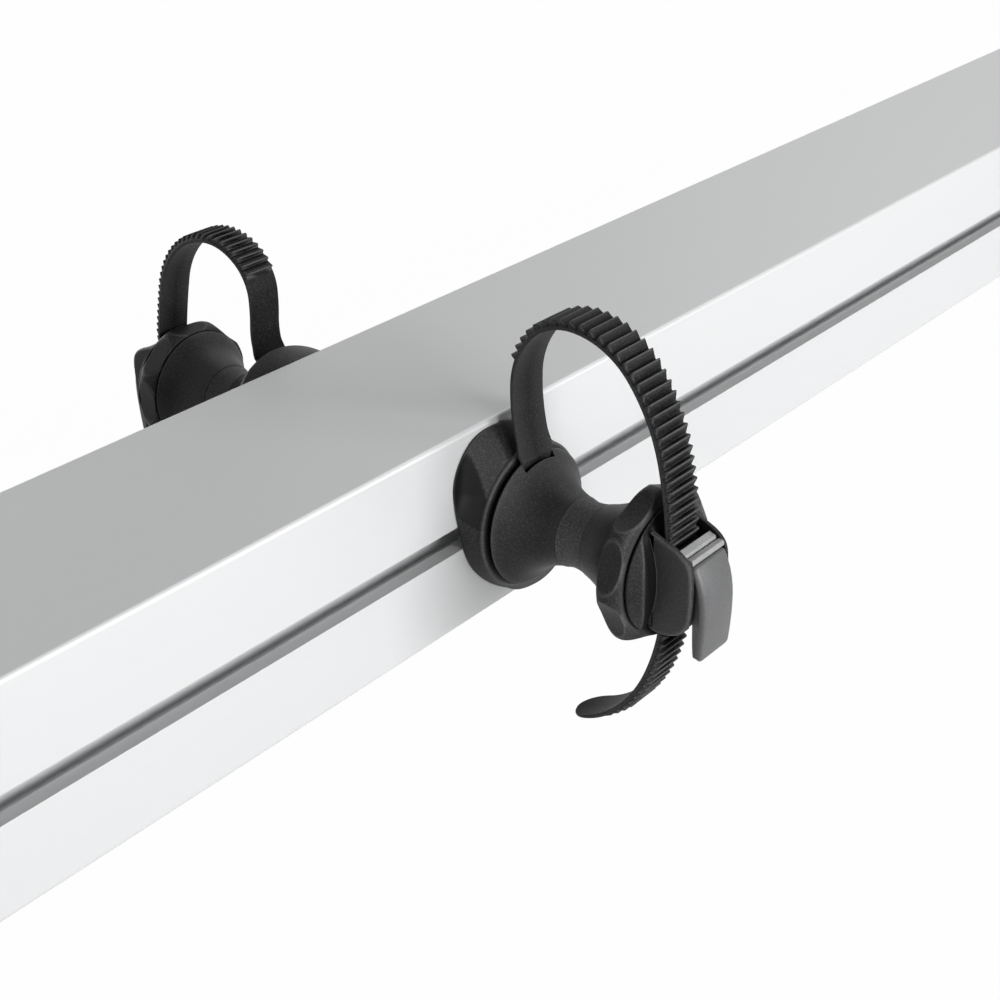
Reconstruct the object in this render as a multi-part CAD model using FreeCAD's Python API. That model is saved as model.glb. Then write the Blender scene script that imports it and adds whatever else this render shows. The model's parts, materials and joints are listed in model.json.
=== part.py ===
import FreeCAD, Part
import math
import os

# Slide-out bike carrier: a thick extruded beam that runs out on a telescopic
# floor rail, with two spool-shaped wheel holders clamped in its side slots.
# Millimetres. X runs along the beam, -Y is the near side, Z is up, and Z = 0
# is the floor. The origin is midway between the two floor feet.

V = FreeCAD.Vector

# Beam extrusion
BEAM_LENGTH = 1300.0
BEAM_WIDTH = 120.0
BEAM_HEIGHT = 100.0
BEAM_BOTTOM = 60.0
BEAM_WALL = 4.0
BEAM_EDGE_RADIUS = 2.0
SLOT_HEIGHT = 47.5
SLOT_OPENING = 12.8
SLOT_LIP = 7.5
SLOT_INNER_HEIGHT = 24.0
SLOT_INNER_DEPTH = 9.0
CHANNEL_OPENING = 22.0
CHANNEL_WIDTH = 40.0
CHANNEL_DEPTH = 24.0

# Telescopic rails
RAIL_WIDTH = 44.0
RAIL_HEIGHT = 30.0
RAIL_WALL = 3.5
RAIL_OPENING = 20.0
RAIL_LENGTH = 1180.0
RAIL_GAP = 2.0
MIDDLE_SETBACK = 30.0
FLANGE_WIDTH = 30.0
FLANGE_THICKNESS = 7.0
WEB_THICKNESS = 10.0
GLIDE_LENGTH = 60.0
GLIDE_CLEARANCE = 0.3
SLIDE_TRAVEL = 340.0

# Floor feet
FOOT_PLATE_LENGTH = 120.0
FOOT_PLATE_WIDTH = 150.0
FOOT_PLATE_THICKNESS = 5.0
FOOT_INSET = 30.0
FLOOR_HOLE_SPACING_X = 84.0
FLOOR_HOLE_SPACING_Y = 116.0
FLOOR_HOLE_RADIUS = 4.5
PEDESTAL_LENGTH = 90.0
PEDESTAL_WALL = 4.0
FOOT_SCREW_SPACING = 40.0
FOOT_SCREW_RADIUS = 3.0
FOOT_SCREW_HEAD = 6.0
FOOT_SCREW_SINK = 3.0

# End caps, pull handle and latch
CAP_THICKNESS = 6.0
CAP_LIP = 0.8
CAP_SCREW_RADIUS = 2.5
CAP_SCREW_HEAD = 2.2
CAP_SCREW_LENGTH = 22.0
CAP_SCREW_LOW = 14.0
CAP_SCREW_HIGH = 10.0
HANDLE_REACH = 58.0
HANDLE_SPAN = 96.0
HANDLE_BAR_RADIUS = 8.0
HANDLE_BEND = 18.0
HANDLE_PLATE_WIDTH = 20.0
HANDLE_PLATE_HEIGHT = 48.0
HANDLE_PLATE_THICKNESS = 4.0
HANDLE_SCREW_SPACING = 33.0
HANDLE_SCREW_RADIUS = 2.0
HANDLE_SCREW_HEAD = 1.8
HANDLE_NUT_RADIUS = 3.8
HANDLE_NUT_THICKNESS = 2.4
HANDLE_NUT_CLEARANCE = 0.1
HANDLE_HEIGHT = 118.0
LATCH_PIVOT_FORWARD = 20.0
LATCH_PIVOT_HEIGHT = 47.0
LATCH_PIN_RADIUS = 3.0
LATCH_WIDTH = 16.0
LATCH_PLATE = 6.0
BRACKET_PLATE = 5.0
PADDLE_WIDTH = 56.0
PADDLE_TOP = 132.0
STRIKE_BAR_RADIUS = 4.0
STRIKE_REACH = 16.0
STRIKE_BAR_HEIGHT = 5.2
STRIKE_TOP = 10.0
STRIKE_PLATE = 4.0
HOOK_CLEARANCE = 0.4
HOOK_THICKNESS = 5.6
HOOK_DEPTH = 3.5
LATCH_LIFT = 7.0
ARM_DEPTH = 7.5
PADDLE_GAP = 13.5
BRACKET_HEIGHT = 30.0
EAR_GAP = 0.4

# Wheel holders, measured outwards from the face that they clamp to
STATION_X = -200.0
FAR_STANDOFF = 28.0
FOOT_HALF_WIDTH = 34.4
FOOT_HALF_HEIGHT = 53.0
FOOT_TILT = 30.0
FOOT_DEPTH = 11.4
FOOT_RIM_RADIUS = 36.6
FOOT_SCOOP_RADIUS = 46.0
FOOT_SCOOP_DEPTH = 3.0
FAR_FOOT_TILT = -38.7
FAR_FOOT_HALF_HEIGHT = 56.0
FAR_FOOT_MIDDLE_WIDTH = 37.6
FAR_FOOT_MIDDLE_HEIGHT = 58.6
SEAM = 2.6
CONE_RADIUS = 34.6
CONE_EDGE = 0.6
CONE_END = 39.1
WAIST_RADIUS = 18.9
WAIST_MIN_RADIUS = 17.4
WAIST_END = 53.6
OUTER_CONE_END = 76.6
OUTER_CONE_RADIUS = 31.9
SPIGOT_RADIUS = 10.0
SPIGOT_LENGTH = 3.0
SPIGOT_CLEARANCE = 0.1

STUD_RADIUS = 5.0
STUD_HOLE_CLEARANCE = 0.2
STUD_BORE_DEPTH = 14.0
NUT_LENGTH = 36.0
NUT_CLEARANCE = 0.3
KNOB_GAP = 0.4
KNOB_THICKNESS = 12.6
KNOB_RADIUS = 39.3
KNOB_FACE_RADIUS = 32.5
KNOB_LOBES = 8
KNOB_SCOOP_RADIUS = 45.5
KNOB_SCOOP_FLOOR = 35.2
KNOB_PHASE = 25.5
FAR_KNOB_RADIUS = 36.0
FAR_KNOB_FACE_RADIUS = 32.0
FAR_KNOB_SCOOP_FLOOR = 32.4
FAR_KNOB_PHASE = 37.5
INSERT_RADIUS = 9.0
THREAD_CLEARANCE = 0.05

# Buckle: its base is a cone under an arched top, its cheeks stand beside the strap
HOUSING_GAP = 1.5
HOUSING_RADIUS = 31.2
HOUSING_RIM = 0.6
HOUSING_FLANK = 50.0
HOUSING_CROWN = 6.8
HOUSING_ARCH = 27.5
HOUSING_BASE = 5.0
CHEEK_INNER = 12.6
CHEEK_THICKNESS = 2.6
CHEEK_ROUNDING = 1.4
CHEEK_OUT = 22.2
HOUSING_RAMP = ((2.6, 26.0), (0.6, 12.0), (0.0, 4.0), (0.0, 0.0), (0.8, -10.0), (2.0, -20.0), (3.7, -31.0))
HOUSING_SCREW_HEAD = 6.0
HOUSING_SCREW_SINK = 0.6
STUD_SEAT = 1.2
HEAD_DEPTH = 3.0
HOUSING_SCREW_RADIUS = 3.0
LEVER_HALF_WIDTH = 12.2
LEVER_SKIN = 2.4
LEVER_PIN_OUT = 111.6
LEVER_PIN_HEIGHT = 7.0
LEVER_PIN_RADIUS = 1.75
DRIVE_PIN_OUT = 111.8
DRIVE_PIN_HEIGHT = -5.0
HOLD_PIN_OUT = 107.0
HOLD_PIN_HEIGHT = 0.5
PAWL_PIN_RADIUS = 1.25
PIN_CLEARANCE = 0.06
PIN_SEAT = 1.6
GUIDE_BAR = ((103.8, 107.5), (-24.0, -18.5))

# Side views of the buckle's moving pieces, as (out, up) from the pin of each
LEVER_OUTSIDE = ((-1.0, 5.6), (1.2, 5.6), (2.6, 5.4), (6.2, -3.0), (7.9, -12.0), (7.8, -24.0), (6.2, -43.0))
LEVER_INSIDE = ((2.6, -44.0), (2.0, -27.0), (1.8, -17.0), (2.0, -15.4), (-2.6, -15.0), (-3.0, 0.0),
                (-2.8, 3.4))
LEVER_POCKET = ((-4.0, 4.0), (1.2, 4.0), (6.2, -4.4), (7.9, -12.6), (7.8, -24.0), (6.2, -41.0))
LEVER_POCKET_INSIDE = ((-1.6, -41.0), (-5.6, -27.0))
DRIVE_PAWL = ((2.2, 1.0), (0.0, 2.6), (-2.2, 1.4), (-8.6, -8.0), (-9.1, -10.2), (-7.2, -9.6), (0.6, -3.0),
              (2.4, -1.2))
HOLD_PAWL = ((1.8, -1.6), (2.0, 1.6), (0.6, 3.6), (-1.7, 5.2), (-1.7, 10.0), (-3.3, 10.0), (-3.3, 5.0),
             (-2.6, 1.0), (-4.1, -5.2), (-3.8, -7.0), (-2.0, -6.0))
RELEASE_BAR = ((-3.3, 9.6), (-1.7, 9.6), (-1.7, 12.75), (6.0, 12.75), (6.0, 14.4), (5.4, 15.2), (2.9, 15.2),
               (2.2, 14.2), (1.8, 14.8), (1.2, 16.2), (-2.0, 17.4), (-2.8, 16.6))

# Strap: its inner line is a chain of arcs, each with its length and its turn
STRAP_WIDTH = 21.6
STRAP_THICKNESS = 2.8
TOOTH_PITCH = 4.9
TOOTH_HEIGHT = 1.9
TOOTH_START = 52.0
TOOTH_CREST = 0.5
FAR_TOOTH_PITCH = 3.93
FAR_TOOTH_HEIGHT = 1.6
FAR_TOOTH_START = 48.0
TONGUE_LENGTH = 22.0
STRAP_START = (16.0, 32.4)
STRAP_HEADING = 108.3
STRAP_RUNS = (38.5, 27.6, 26.3, 36.3, 37.0, 46.7, 34.3, 34.1, 34.3, 29.9)
STRAP_TURNS = (-21.2, -38.3, -49.5, -51.1, -25.1, -13.9, -6.1, -15.9, -24.2, -30.8)
FAR_STRAP_HEADING = 57.6
FAR_STRAP_RUNS = (26.5, 26.35, 26.35, 26.35, 26.35, 26.35, 16.0, 10.35, 28.0, 28.0, 32.0, 36.0, 36.2)
FAR_STRAP_TURNS = (45.5, -52.9, -57.5, -35.8, -30.7, -4.3, -1.0, -10.0, -3.0, -12.0, -36.0, -44.0, -40.0)
STRAP_EYE_RADIUS = 3.5
STRAP_PIN_RADIUS = 1.75
STRAP_PIN_OUT = 17.6
STRAP_PIN_HEIGHT = 19.5
STRAP_PIN_REACH = 3.0
STRAP_SLOT_CLEARANCE = 0.4
STRAP_ROOT_GAP = 1.0

# Derived heights and places
SLOT_Z = BEAM_BOTTOM + SLOT_HEIGHT
BEAM_TOP = BEAM_BOTTOM + BEAM_HEIGHT
RAIL_TOP = BEAM_BOTTOM - RAIL_GAP
RAIL_BOTTOM = RAIL_TOP - RAIL_HEIGHT
BEAM_END = BEAM_LENGTH / 2.0
RAIL_END = RAIL_LENGTH / 2.0
MIDDLE_LENGTH = RAIL_LENGTH - 2.0 * MIDDLE_SETBACK
FOOT_CENTRE = RAIL_END - FOOT_INSET
KNOB_START = OUTER_CONE_END + KNOB_GAP
KNOB_END = KNOB_START + KNOB_THICKNESS
HOUSING_START = KNOB_END + HOUSING_GAP
HOUSING_FLOOR = HOUSING_START + HOUSING_BASE


def box(x0, x1, y0, y1, z0, z1):
    return Part.makeBox(x1 - x0, y1 - y0, z1 - z0, V(x0, y0, z0))


def rod(start, end, radius):
    axis = end - start
    return Part.makeCylinder(radius, axis.Length, start, axis)


def face_of(points):
    return Part.Face(Part.makePolygon(points + points[:1]))


def prism_x(outline, x0, x1):
    """Solid from a (y, z) outline, drawn along X."""
    return face_of([V(x0, y, z) for y, z in outline]).extrude(V(x1 - x0, 0, 0))


def prism_y(outline, y0, y1):
    """Solid from an (x, z) outline, drawn along Y."""
    return face_of([V(x, y0, z) for x, z in outline]).extrude(V(0, y1 - y0, 0))


def edges_along(shape, direction, test):
    """Straight edges of a shape that lie along a direction and pass a test."""
    picked = []
    for edge in shape.Edges:
        if edge.Curve.TypeId != "Part::GeomLine":
            continue
        if abs(edge.tangentAt(edge.FirstParameter).dot(direction)) < 0.999:
            continue
        if test(edge.CenterOfMass):
            picked.append(edge)
    return picked


# Beam

def beam():
    half = BEAM_WIDTH / 2.0
    body = box(-BEAM_END, BEAM_END, -half, half, BEAM_BOTTOM, BEAM_TOP)
    body = body.makeFillet(BEAM_EDGE_RADIUS, edges_along(body, V(1, 0, 0), lambda c: True))
    slot_low = SLOT_Z - SLOT_INNER_HEIGHT / 2.0
    slot_high = SLOT_Z + SLOT_INNER_HEIGHT / 2.0
    channel_top = BEAM_BOTTOM + BEAM_WALL + CHANNEL_DEPTH
    hollows = []
    for side in (-1, 1):
        mouth = sorted((side * half, side * (half - SLOT_LIP)))
        inner = sorted((side * (half - SLOT_LIP), side * (half - SLOT_LIP - SLOT_INNER_DEPTH)))
        lower = sorted((side * (half - BEAM_WALL), side * (CHANNEL_WIDTH / 2.0 + BEAM_WALL)))
        opening = SLOT_OPENING / 2.0
        hollows.append((mouth[0], mouth[1], SLOT_Z - opening, SLOT_Z + opening))
        hollows.append((inner[0], inner[1], slot_low, slot_high))
        hollows.append((lower[0], lower[1], BEAM_BOTTOM + BEAM_WALL, slot_low - BEAM_WALL))
    core = half - SLOT_LIP - SLOT_INNER_DEPTH - BEAM_WALL
    hollows.append((-(half - BEAM_WALL), half - BEAM_WALL, slot_high + BEAM_WALL, BEAM_TOP - BEAM_WALL))
    hollows.append((-core, core, channel_top + BEAM_WALL, slot_high))
    hollows.append((-CHANNEL_WIDTH / 2.0, CHANNEL_WIDTH / 2.0, BEAM_BOTTOM + BEAM_WALL, channel_top))
    hollows.append((-CHANNEL_OPENING / 2.0, CHANNEL_OPENING / 2.0, BEAM_BOTTOM, BEAM_BOTTOM + BEAM_WALL))
    for y0, y1, z0, z1 in hollows:
        body = body.cut(box(-BEAM_END, BEAM_END, y0, y1, z0, z1))
    return body


def cap_screw_places():
    """Four screws that enter the corners of the beam's chambers."""
    reach = BEAM_WIDTH / 2.0 - 2.5 * BEAM_WALL
    heights = (BEAM_BOTTOM + CAP_SCREW_LOW, BEAM_TOP - CAP_SCREW_HIGH)
    return [(side * reach, z) for side in (-1, 1) for z in heights]


def end_cap(direction):
    """Moulded cap over one beam end, with four bosses for its screws."""
    half = BEAM_WIDTH / 2.0 + CAP_LIP
    x0, x1 = sorted((direction * BEAM_END, direction * (BEAM_END + CAP_THICKNESS)))
    cap = box(x0, x1, -half, half, BEAM_BOTTOM - CAP_LIP, BEAM_TOP + CAP_LIP)
    outer = direction * (BEAM_END + CAP_THICKNESS)
    cap = cap.makeFillet(4.0, edges_along(cap, V(1, 0, 0), lambda c: True))
    rim = [e for e in cap.Edges if abs(e.CenterOfMass.x - outer) < 0.01]
    cap = cap.makeFillet(1.5, rim)
    for y, z in cap_screw_places():
        cap = cap.cut(rod(V(x0 - 1, y, z), V(x1 + 1, y, z), CAP_SCREW_RADIUS))
    if direction < 0:
        pocket = HANDLE_NUT_RADIUS + HANDLE_NUT_CLEARANCE
        floor = x1 - HANDLE_NUT_THICKNESS - HANDLE_NUT_CLEARANCE
        for y, z in handle_screw_places():
            cap = cap.cut(rod(V(x0 - 1, y, z), V(x1 + 1, y, z), HANDLE_SCREW_RADIUS))
            cap = cap.cut(rod(V(floor, y, z), V(x1 + 1, y, z), pocket))
    mouth = CHANNEL_OPENING / 2.0
    cavity = CHANNEL_WIDTH / 2.0
    top = BEAM_BOTTOM + BEAM_WALL + CHANNEL_DEPTH
    if direction > 0:
        cap = cap.cut(box(x0 - 1, x1 + 1, -mouth, mouth, BEAM_BOTTOM - 5, BEAM_BOTTOM + BEAM_WALL + 1))
        cap = cap.cut(box(x0 - 1, x1 + 1, -cavity, cavity, BEAM_BOTTOM + BEAM_WALL, top))
    return cap


def end_cap_screws(direction):
    """Pan-head screws, each a head on the cap and a shank in the beam."""
    screws = []
    face = direction * (BEAM_END + CAP_THICKNESS)
    for y, z in cap_screw_places():
        head = rod(V(face, y, z), V(face + direction * CAP_SCREW_HEAD, y, z), 2.0 * CAP_SCREW_RADIUS)
        shank = rod(V(face - direction * CAP_SCREW_LENGTH, y, z), V(face, y, z), CAP_SCREW_RADIUS - 0.1)
        screws.append(head.fuse(shank))
    return Part.makeCompound(screws)


# Telescopic rails

def sunk_screw(x, bottom, clearance):
    """Countersunk screw in the rail's floor, or its hole with a clearance."""
    seat = RAIL_BOTTOM + RAIL_WALL
    head = Part.makeCone(FOOT_SCREW_RADIUS + clearance, FOOT_SCREW_HEAD + clearance, FOOT_SCREW_SINK,
                         V(x, 0, seat - FOOT_SCREW_SINK))
    return head.fuse(rod(V(x, 0, bottom), V(x, 0, seat - FOOT_SCREW_SINK), FOOT_SCREW_RADIUS + clearance))


def floor_rail():
    half = RAIL_WIDTH / 2.0
    rail = box(-RAIL_END, RAIL_END, -half, half, RAIL_BOTTOM, RAIL_TOP)
    inner = half - RAIL_WALL
    rail = rail.cut(box(-RAIL_END, RAIL_END, -inner, inner, RAIL_BOTTOM + RAIL_WALL, RAIL_TOP - RAIL_WALL))
    mouth = RAIL_OPENING / 2.0
    rail = rail.cut(box(-RAIL_END, RAIL_END, -mouth, mouth, RAIL_TOP - RAIL_WALL - 1, RAIL_TOP + 1))
    for side in (-1, 1):
        for offset in (-FOOT_SCREW_SPACING / 2.0, FOOT_SCREW_SPACING / 2.0):
            x = side * FOOT_CENTRE + offset
            rail = rail.cut(sunk_screw(x, RAIL_BOTTOM - 1, 0.1))
    return rail


def lower_flange_bottom():
    cavity = RAIL_HEIGHT - 2.0 * RAIL_WALL
    return RAIL_BOTTOM + RAIL_WALL + (cavity - FLANGE_THICKNESS) / 2.0


def upper_flange_bottom():
    return BEAM_BOTTOM + BEAM_WALL + (CHANNEL_DEPTH - FLANGE_THICKNESS) / 2.0


def middle_rail():
    """I-shaped rail that links the floor rail to the beam's channel."""
    end = MIDDLE_LENGTH / 2.0
    low = lower_flange_bottom()
    high = upper_flange_bottom()
    half = FLANGE_WIDTH / 2.0
    web = WEB_THICKNESS / 2.0
    outline = [
        (-half, low), (half, low), (half, low + FLANGE_THICKNESS), (web, low + FLANGE_THICKNESS),
        (web, high), (half, high), (half, high + FLANGE_THICKNESS), (-half, high + FLANGE_THICKNESS),
        (-half, high), (-web, high), (-web, low + FLANGE_THICKNESS), (-half, low + FLANGE_THICKNESS),
    ]
    return prism_x(outline, -end, end)


def glides(width, z0, z1, places):
    """Plastic blocks that wrap one flange of the middle rail."""
    half = width / 2.0 - GLIDE_CLEARANCE
    rail = middle_rail()
    blocks = []
    for x in places:
        block = box(x, x + GLIDE_LENGTH, -half, half, z0 + GLIDE_CLEARANCE, z1 - GLIDE_CLEARANCE)
        blocks.append(block.cut(rail))
    return Part.makeCompound(blocks)


def lower_glides():
    end = MIDDLE_LENGTH / 2.0
    low = RAIL_BOTTOM + RAIL_WALL
    return glides(RAIL_WIDTH - 2.0 * RAIL_WALL, low, RAIL_TOP - RAIL_WALL, (end - GLIDE_LENGTH - 10, -20))


def upper_glides():
    end = MIDDLE_LENGTH / 2.0
    low = BEAM_BOTTOM + BEAM_WALL
    return glides(CHANNEL_WIDTH, low, low + CHANNEL_DEPTH, (-end + 10, -GLIDE_LENGTH))


def floor_foot(side):
    """Folded steel foot: a floor plate and an open pedestal under the rail."""
    x = side * FOOT_CENTRE
    length = FOOT_PLATE_LENGTH / 2.0
    width = FOOT_PLATE_WIDTH / 2.0
    plate = box(x - length, x + length, -width, width, 0, FOOT_PLATE_THICKNESS)
    plate = plate.makeFillet(12.0, edges_along(plate, V(0, 0, 1), lambda c: True))
    half = RAIL_WIDTH / 2.0
    reach = PEDESTAL_LENGTH / 2.0
    pedestal = box(x - reach, x + reach, -half, half, FOOT_PLATE_THICKNESS, RAIL_BOTTOM)
    inside = half - PEDESTAL_WALL
    hollow = box(x - reach, x + reach, -inside, inside, FOOT_PLATE_THICKNESS, RAIL_BOTTOM - PEDESTAL_WALL)
    foot = plate.fuse(pedestal.cut(hollow))
    for dx in (-FLOOR_HOLE_SPACING_X / 2.0, FLOOR_HOLE_SPACING_X / 2.0):
        for y in (-FLOOR_HOLE_SPACING_Y / 2.0, FLOOR_HOLE_SPACING_Y / 2.0):
            top = V(x + dx, y, FOOT_PLATE_THICKNESS + 1)
            foot = foot.cut(rod(V(x + dx, y, -1), top, FLOOR_HOLE_RADIUS))
    for dx in (-FOOT_SCREW_SPACING / 2.0, FOOT_SCREW_SPACING / 2.0):
        low = V(x + dx, 0, FOOT_PLATE_THICKNESS + 1)
        foot = foot.cut(rod(low, V(x + dx, 0, RAIL_BOTTOM + 1), FOOT_SCREW_RADIUS + 0.1))
    return foot.removeSplitter()


def foot_screws():
    """Low-head screws with nuts that hold the rail on its feet."""
    screws = []
    for side in (-1, 1):
        for offset in (-FOOT_SCREW_SPACING / 2.0, FOOT_SCREW_SPACING / 2.0):
            x = side * FOOT_CENTRE + offset
            low = RAIL_BOTTOM - PEDESTAL_WALL
            nut = rod(V(x, 0, low - 5.0), V(x, 0, low), 1.8 * FOOT_SCREW_RADIUS)
            screws.append(sunk_screw(x, low - 6.5, 0.0).fuse(nut))
    return Part.makeCompound(screws)


# Pull handle and latch at the near end

def handle_screw_places():
    """Two screws through each handle plate and the cap behind it."""
    half = HANDLE_SPAN / 2.0
    reach = HANDLE_SCREW_SPACING / 2.0
    return [(y, HANDLE_HEIGHT + dz) for y in (-half, half) for dz in (-reach, reach)]


def pull_handle():
    """Bow handle: two legs, a grip bar with round corners and two screwed plates."""
    face = -(BEAM_END + CAP_THICKNESS)
    half = HANDLE_SPAN / 2.0
    z = HANDLE_HEIGHT
    grip = face - HANDLE_REACH
    bend = HANDLE_BEND
    corner = bend * (1.0 - math.sqrt(0.5))
    edges = [Part.LineSegment(V(grip, -half + bend, z), V(grip, half - bend, z)).toShape()]
    for side in (-1, 1):
        leg = Part.LineSegment(V(face, side * half, z), V(grip + bend, side * half, z)).toShape()
        middle = V(grip + corner, side * (half - corner), z)
        turn = Part.Arc(V(grip + bend, side * half, z), middle, V(grip, side * (half - bend), z)).toShape()
        edges += [leg, turn]
    section = Part.Wire(Part.makeCircle(HANDLE_BAR_RADIUS, V(face, -half, z), V(-1, 0, 0)))
    bow = Part.Wire(Part.__sortEdges__(edges)).makePipeShell([section], True, False)
    wide = HANDLE_PLATE_WIDTH / 2.0
    tall = HANDLE_PLATE_HEIGHT / 2.0
    for side in (-1, 1):
        y = side * half
        plate = box(face - HANDLE_PLATE_THICKNESS, face, y - wide, y + wide, z - tall, z + tall)
        bow = bow.fuse(plate.makeFillet(wide - 1.0, edges_along(plate, V(1, 0, 0), lambda c: True)))
    front = face - HANDLE_PLATE_THICKNESS - 1
    for y, height in handle_screw_places():
        bow = bow.cut(rod(V(front, y, height), V(face + 1, y, height), HANDLE_SCREW_RADIUS))
    return bow


def handle_screws():
    """Round-head screws through plate and cap, each with a nut in the cap's back."""
    seat = -(BEAM_END + CAP_THICKNESS + HANDLE_PLATE_THICKNESS)
    screws = []
    for y, z in handle_screw_places():
        head = rod(V(seat - HANDLE_SCREW_HEAD, y, z), V(seat, y, z), 1.9 * HANDLE_SCREW_RADIUS)
        shank = rod(V(seat, y, z), V(-BEAM_END, y, z), HANDLE_SCREW_RADIUS - 0.1)
        nut = rod(V(-BEAM_END - HANDLE_NUT_THICKNESS, y, z), V(-BEAM_END, y, z), HANDLE_NUT_RADIUS)
        screws.append(head.fuse(shank).fuse(nut))
    return Part.makeCompound(screws)


def latch_pivot():
    return V(-(BEAM_END + CAP_THICKNESS + LATCH_PIVOT_FORWARD), 0, LATCH_PIVOT_HEIGHT)


def latch_bracket():
    """Two ears on a plate under the front cap that carry the latch pin."""
    face = -(BEAM_END + CAP_THICKNESS)
    p = latch_pivot()
    inner = LATCH_WIDTH / 2.0 + EAR_GAP
    outer = inner + BRACKET_PLATE
    top = BEAM_BOTTOM + BRACKET_HEIGHT
    plate = box(face - 5.0, face, -24.0, 24.0, BEAM_BOTTOM + 2.0, top)
    bracket = plate
    for side in (-1, 1):
        y0, y1 = sorted((side * inner, side * outer))
        ear = prism_y([(face, top), (face, BEAM_BOTTOM - 4.0), (p.x + 8.0, p.z - 7.0),
                       (p.x - 4.0, p.z - 7.0), (p.x - 8.0, p.z), (face - 12.0, top)], y0, y1)
        bracket = bracket.fuse(ear)
    pin = rod(V(p.x, -outer - 1, p.z), V(p.x, outer + 1, p.z), LATCH_PIN_RADIUS + PIN_CLEARANCE)
    return bracket.cut(pin).removeSplitter()


def latch_pin():
    p = latch_pivot()
    outer = LATCH_WIDTH / 2.0 + EAR_GAP + BRACKET_PLATE
    pin = rod(V(p.x, -outer, p.z), V(p.x, outer, p.z), LATCH_PIN_RADIUS)
    for side in (-1, 1):
        head = rod(V(p.x, side * outer, p.z), V(p.x, side * (outer + 1.5), p.z), LATCH_PIN_RADIUS + 1.5)
        pin = pin.fuse(head)
    return pin


def strike_centre():
    return V(-RAIL_END - STRIKE_REACH, 0, RAIL_BOTTOM + STRIKE_BAR_HEIGHT)


def strike():
    """Keeper on the rail's front end, low enough for the middle rail to pass over."""
    c = strike_centre()
    top = RAIL_BOTTOM + STRIKE_TOP
    plate = box(-RAIL_END - STRIKE_PLATE, -RAIL_END, -21.0, 21.0, RAIL_BOTTOM, top)
    keeper = plate
    for side in (-1, 1):
        y0, y1 = sorted((side * 13.0, side * 18.0))
        keeper = keeper.fuse(box(c.x - 6.0, -RAIL_END - STRIKE_PLATE, y0, y1, RAIL_BOTTOM, top))
    bar = rod(V(c.x, -18.0, c.z), V(c.x, 18.0, c.z), STRIKE_BAR_RADIUS)
    return keeper.fuse(bar).removeSplitter()


def latch_lever():
    """Squeeze paddle above the pivot and a hook for the keeper bar, made lifted clear of it."""
    p = latch_pivot()
    c = strike_centre()
    half = LATCH_WIDTH / 2.0
    behind = c.x + STRIKE_BAR_RADIUS + HOOK_CLEARANCE
    over = c.z + STRIKE_BAR_RADIUS + HOOK_CLEARANCE
    end = behind + HOOK_THICKNESS
    tip = c.z - HOOK_DEPTH
    top = over + ARM_DEPTH
    arm = prism_y([
        (p.x - 8.0, p.z - 4.0), (p.x - 3.0, p.z - 7.0), (p.x + 14.0, over), (behind, over),
        (behind, tip), (end, tip), (end, top), (p.x + 16.0, top), (p.x + 6.0, p.z + 8.0),
        (p.x - 8.0, p.z + 8.0),
    ], -half, half)
    front = -(BEAM_END + CAP_THICKNESS) - PADDLE_GAP
    shoulder = BEAM_BOTTOM + BRACKET_HEIGHT + 2.0
    stem = prism_y([(p.x - 8.0, p.z), (p.x + 6.0, p.z), (front, shoulder), (front - LATCH_PLATE, shoulder)],
                   -half, half)
    wide = PADDLE_WIDTH / 2.0
    paddle = box(front - LATCH_PLATE, front, -wide, wide, shoulder, PADDLE_TOP)
    paddle = paddle.makeFillet(6.0, edges_along(paddle, V(1, 0, 0), lambda e: True))
    lever = arm.fuse(stem).fuse(paddle)
    pin = rod(V(p.x, -half - 1, p.z), V(p.x, half + 1, p.z), LATCH_PIN_RADIUS + PIN_CLEARANCE)
    lever = lever.cut(pin).removeSplitter()
    lever.rotate(p, V(0, -1, 0), LATCH_LIFT)
    return lever


# Wheel holder, built near side out: u is the distance out from the beam

def place(shape, side):
    """Put a holder piece at its station; the far one is the near one turned round."""
    half = BEAM_WIDTH / 2.0
    shape = shape.copy()
    if side > 0:
        shape.rotate(V(0, 0, 0), V(0, 0, 1), 180)
        shape.translate(V(STATION_X, half + FAR_STANDOFF, SLOT_Z))
    else:
        shape.translate(V(STATION_X, -half, SLOT_Z))
    return shape


def outward(x, u, z):
    return V(x, -u, z)


def disc(radius, u0, u1, z=0.0):
    return rod(outward(0, u0, z), outward(0, u1, z), radius)


def turned(edges):
    """Solid of revolution about the holder's axis from edges in the (u, radius) plane."""
    face = Part.Face(Part.Wire(edges))
    return face.revolve(V(0, 0, 0), V(0, 1, 0), 360)


def line(a, b):
    return Part.LineSegment(outward(0, *a), outward(0, *b)).toShape()


def arc(a, b, c):
    return Part.Arc(outward(0, *a), outward(0, *b), outward(0, *c)).toShape()


def stud_hole(u0, u1):
    return disc(STUD_RADIUS + STUD_HOLE_CLEARANCE, u0 - 1, u1 + 1)


def oval(u, half_width, half_height, tilt):
    ellipse = Part.Ellipse(V(0, 0, 0), half_height, half_width).toShape()
    ellipse.rotate(V(0, 0, 0), V(1, 0, 0), 90)
    ellipse.rotate(V(0, 0, 0), V(0, 1, 0), -90 - tilt)
    ellipse.translate(outward(0, u, 0))
    return Part.Wire(ellipse)


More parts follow.
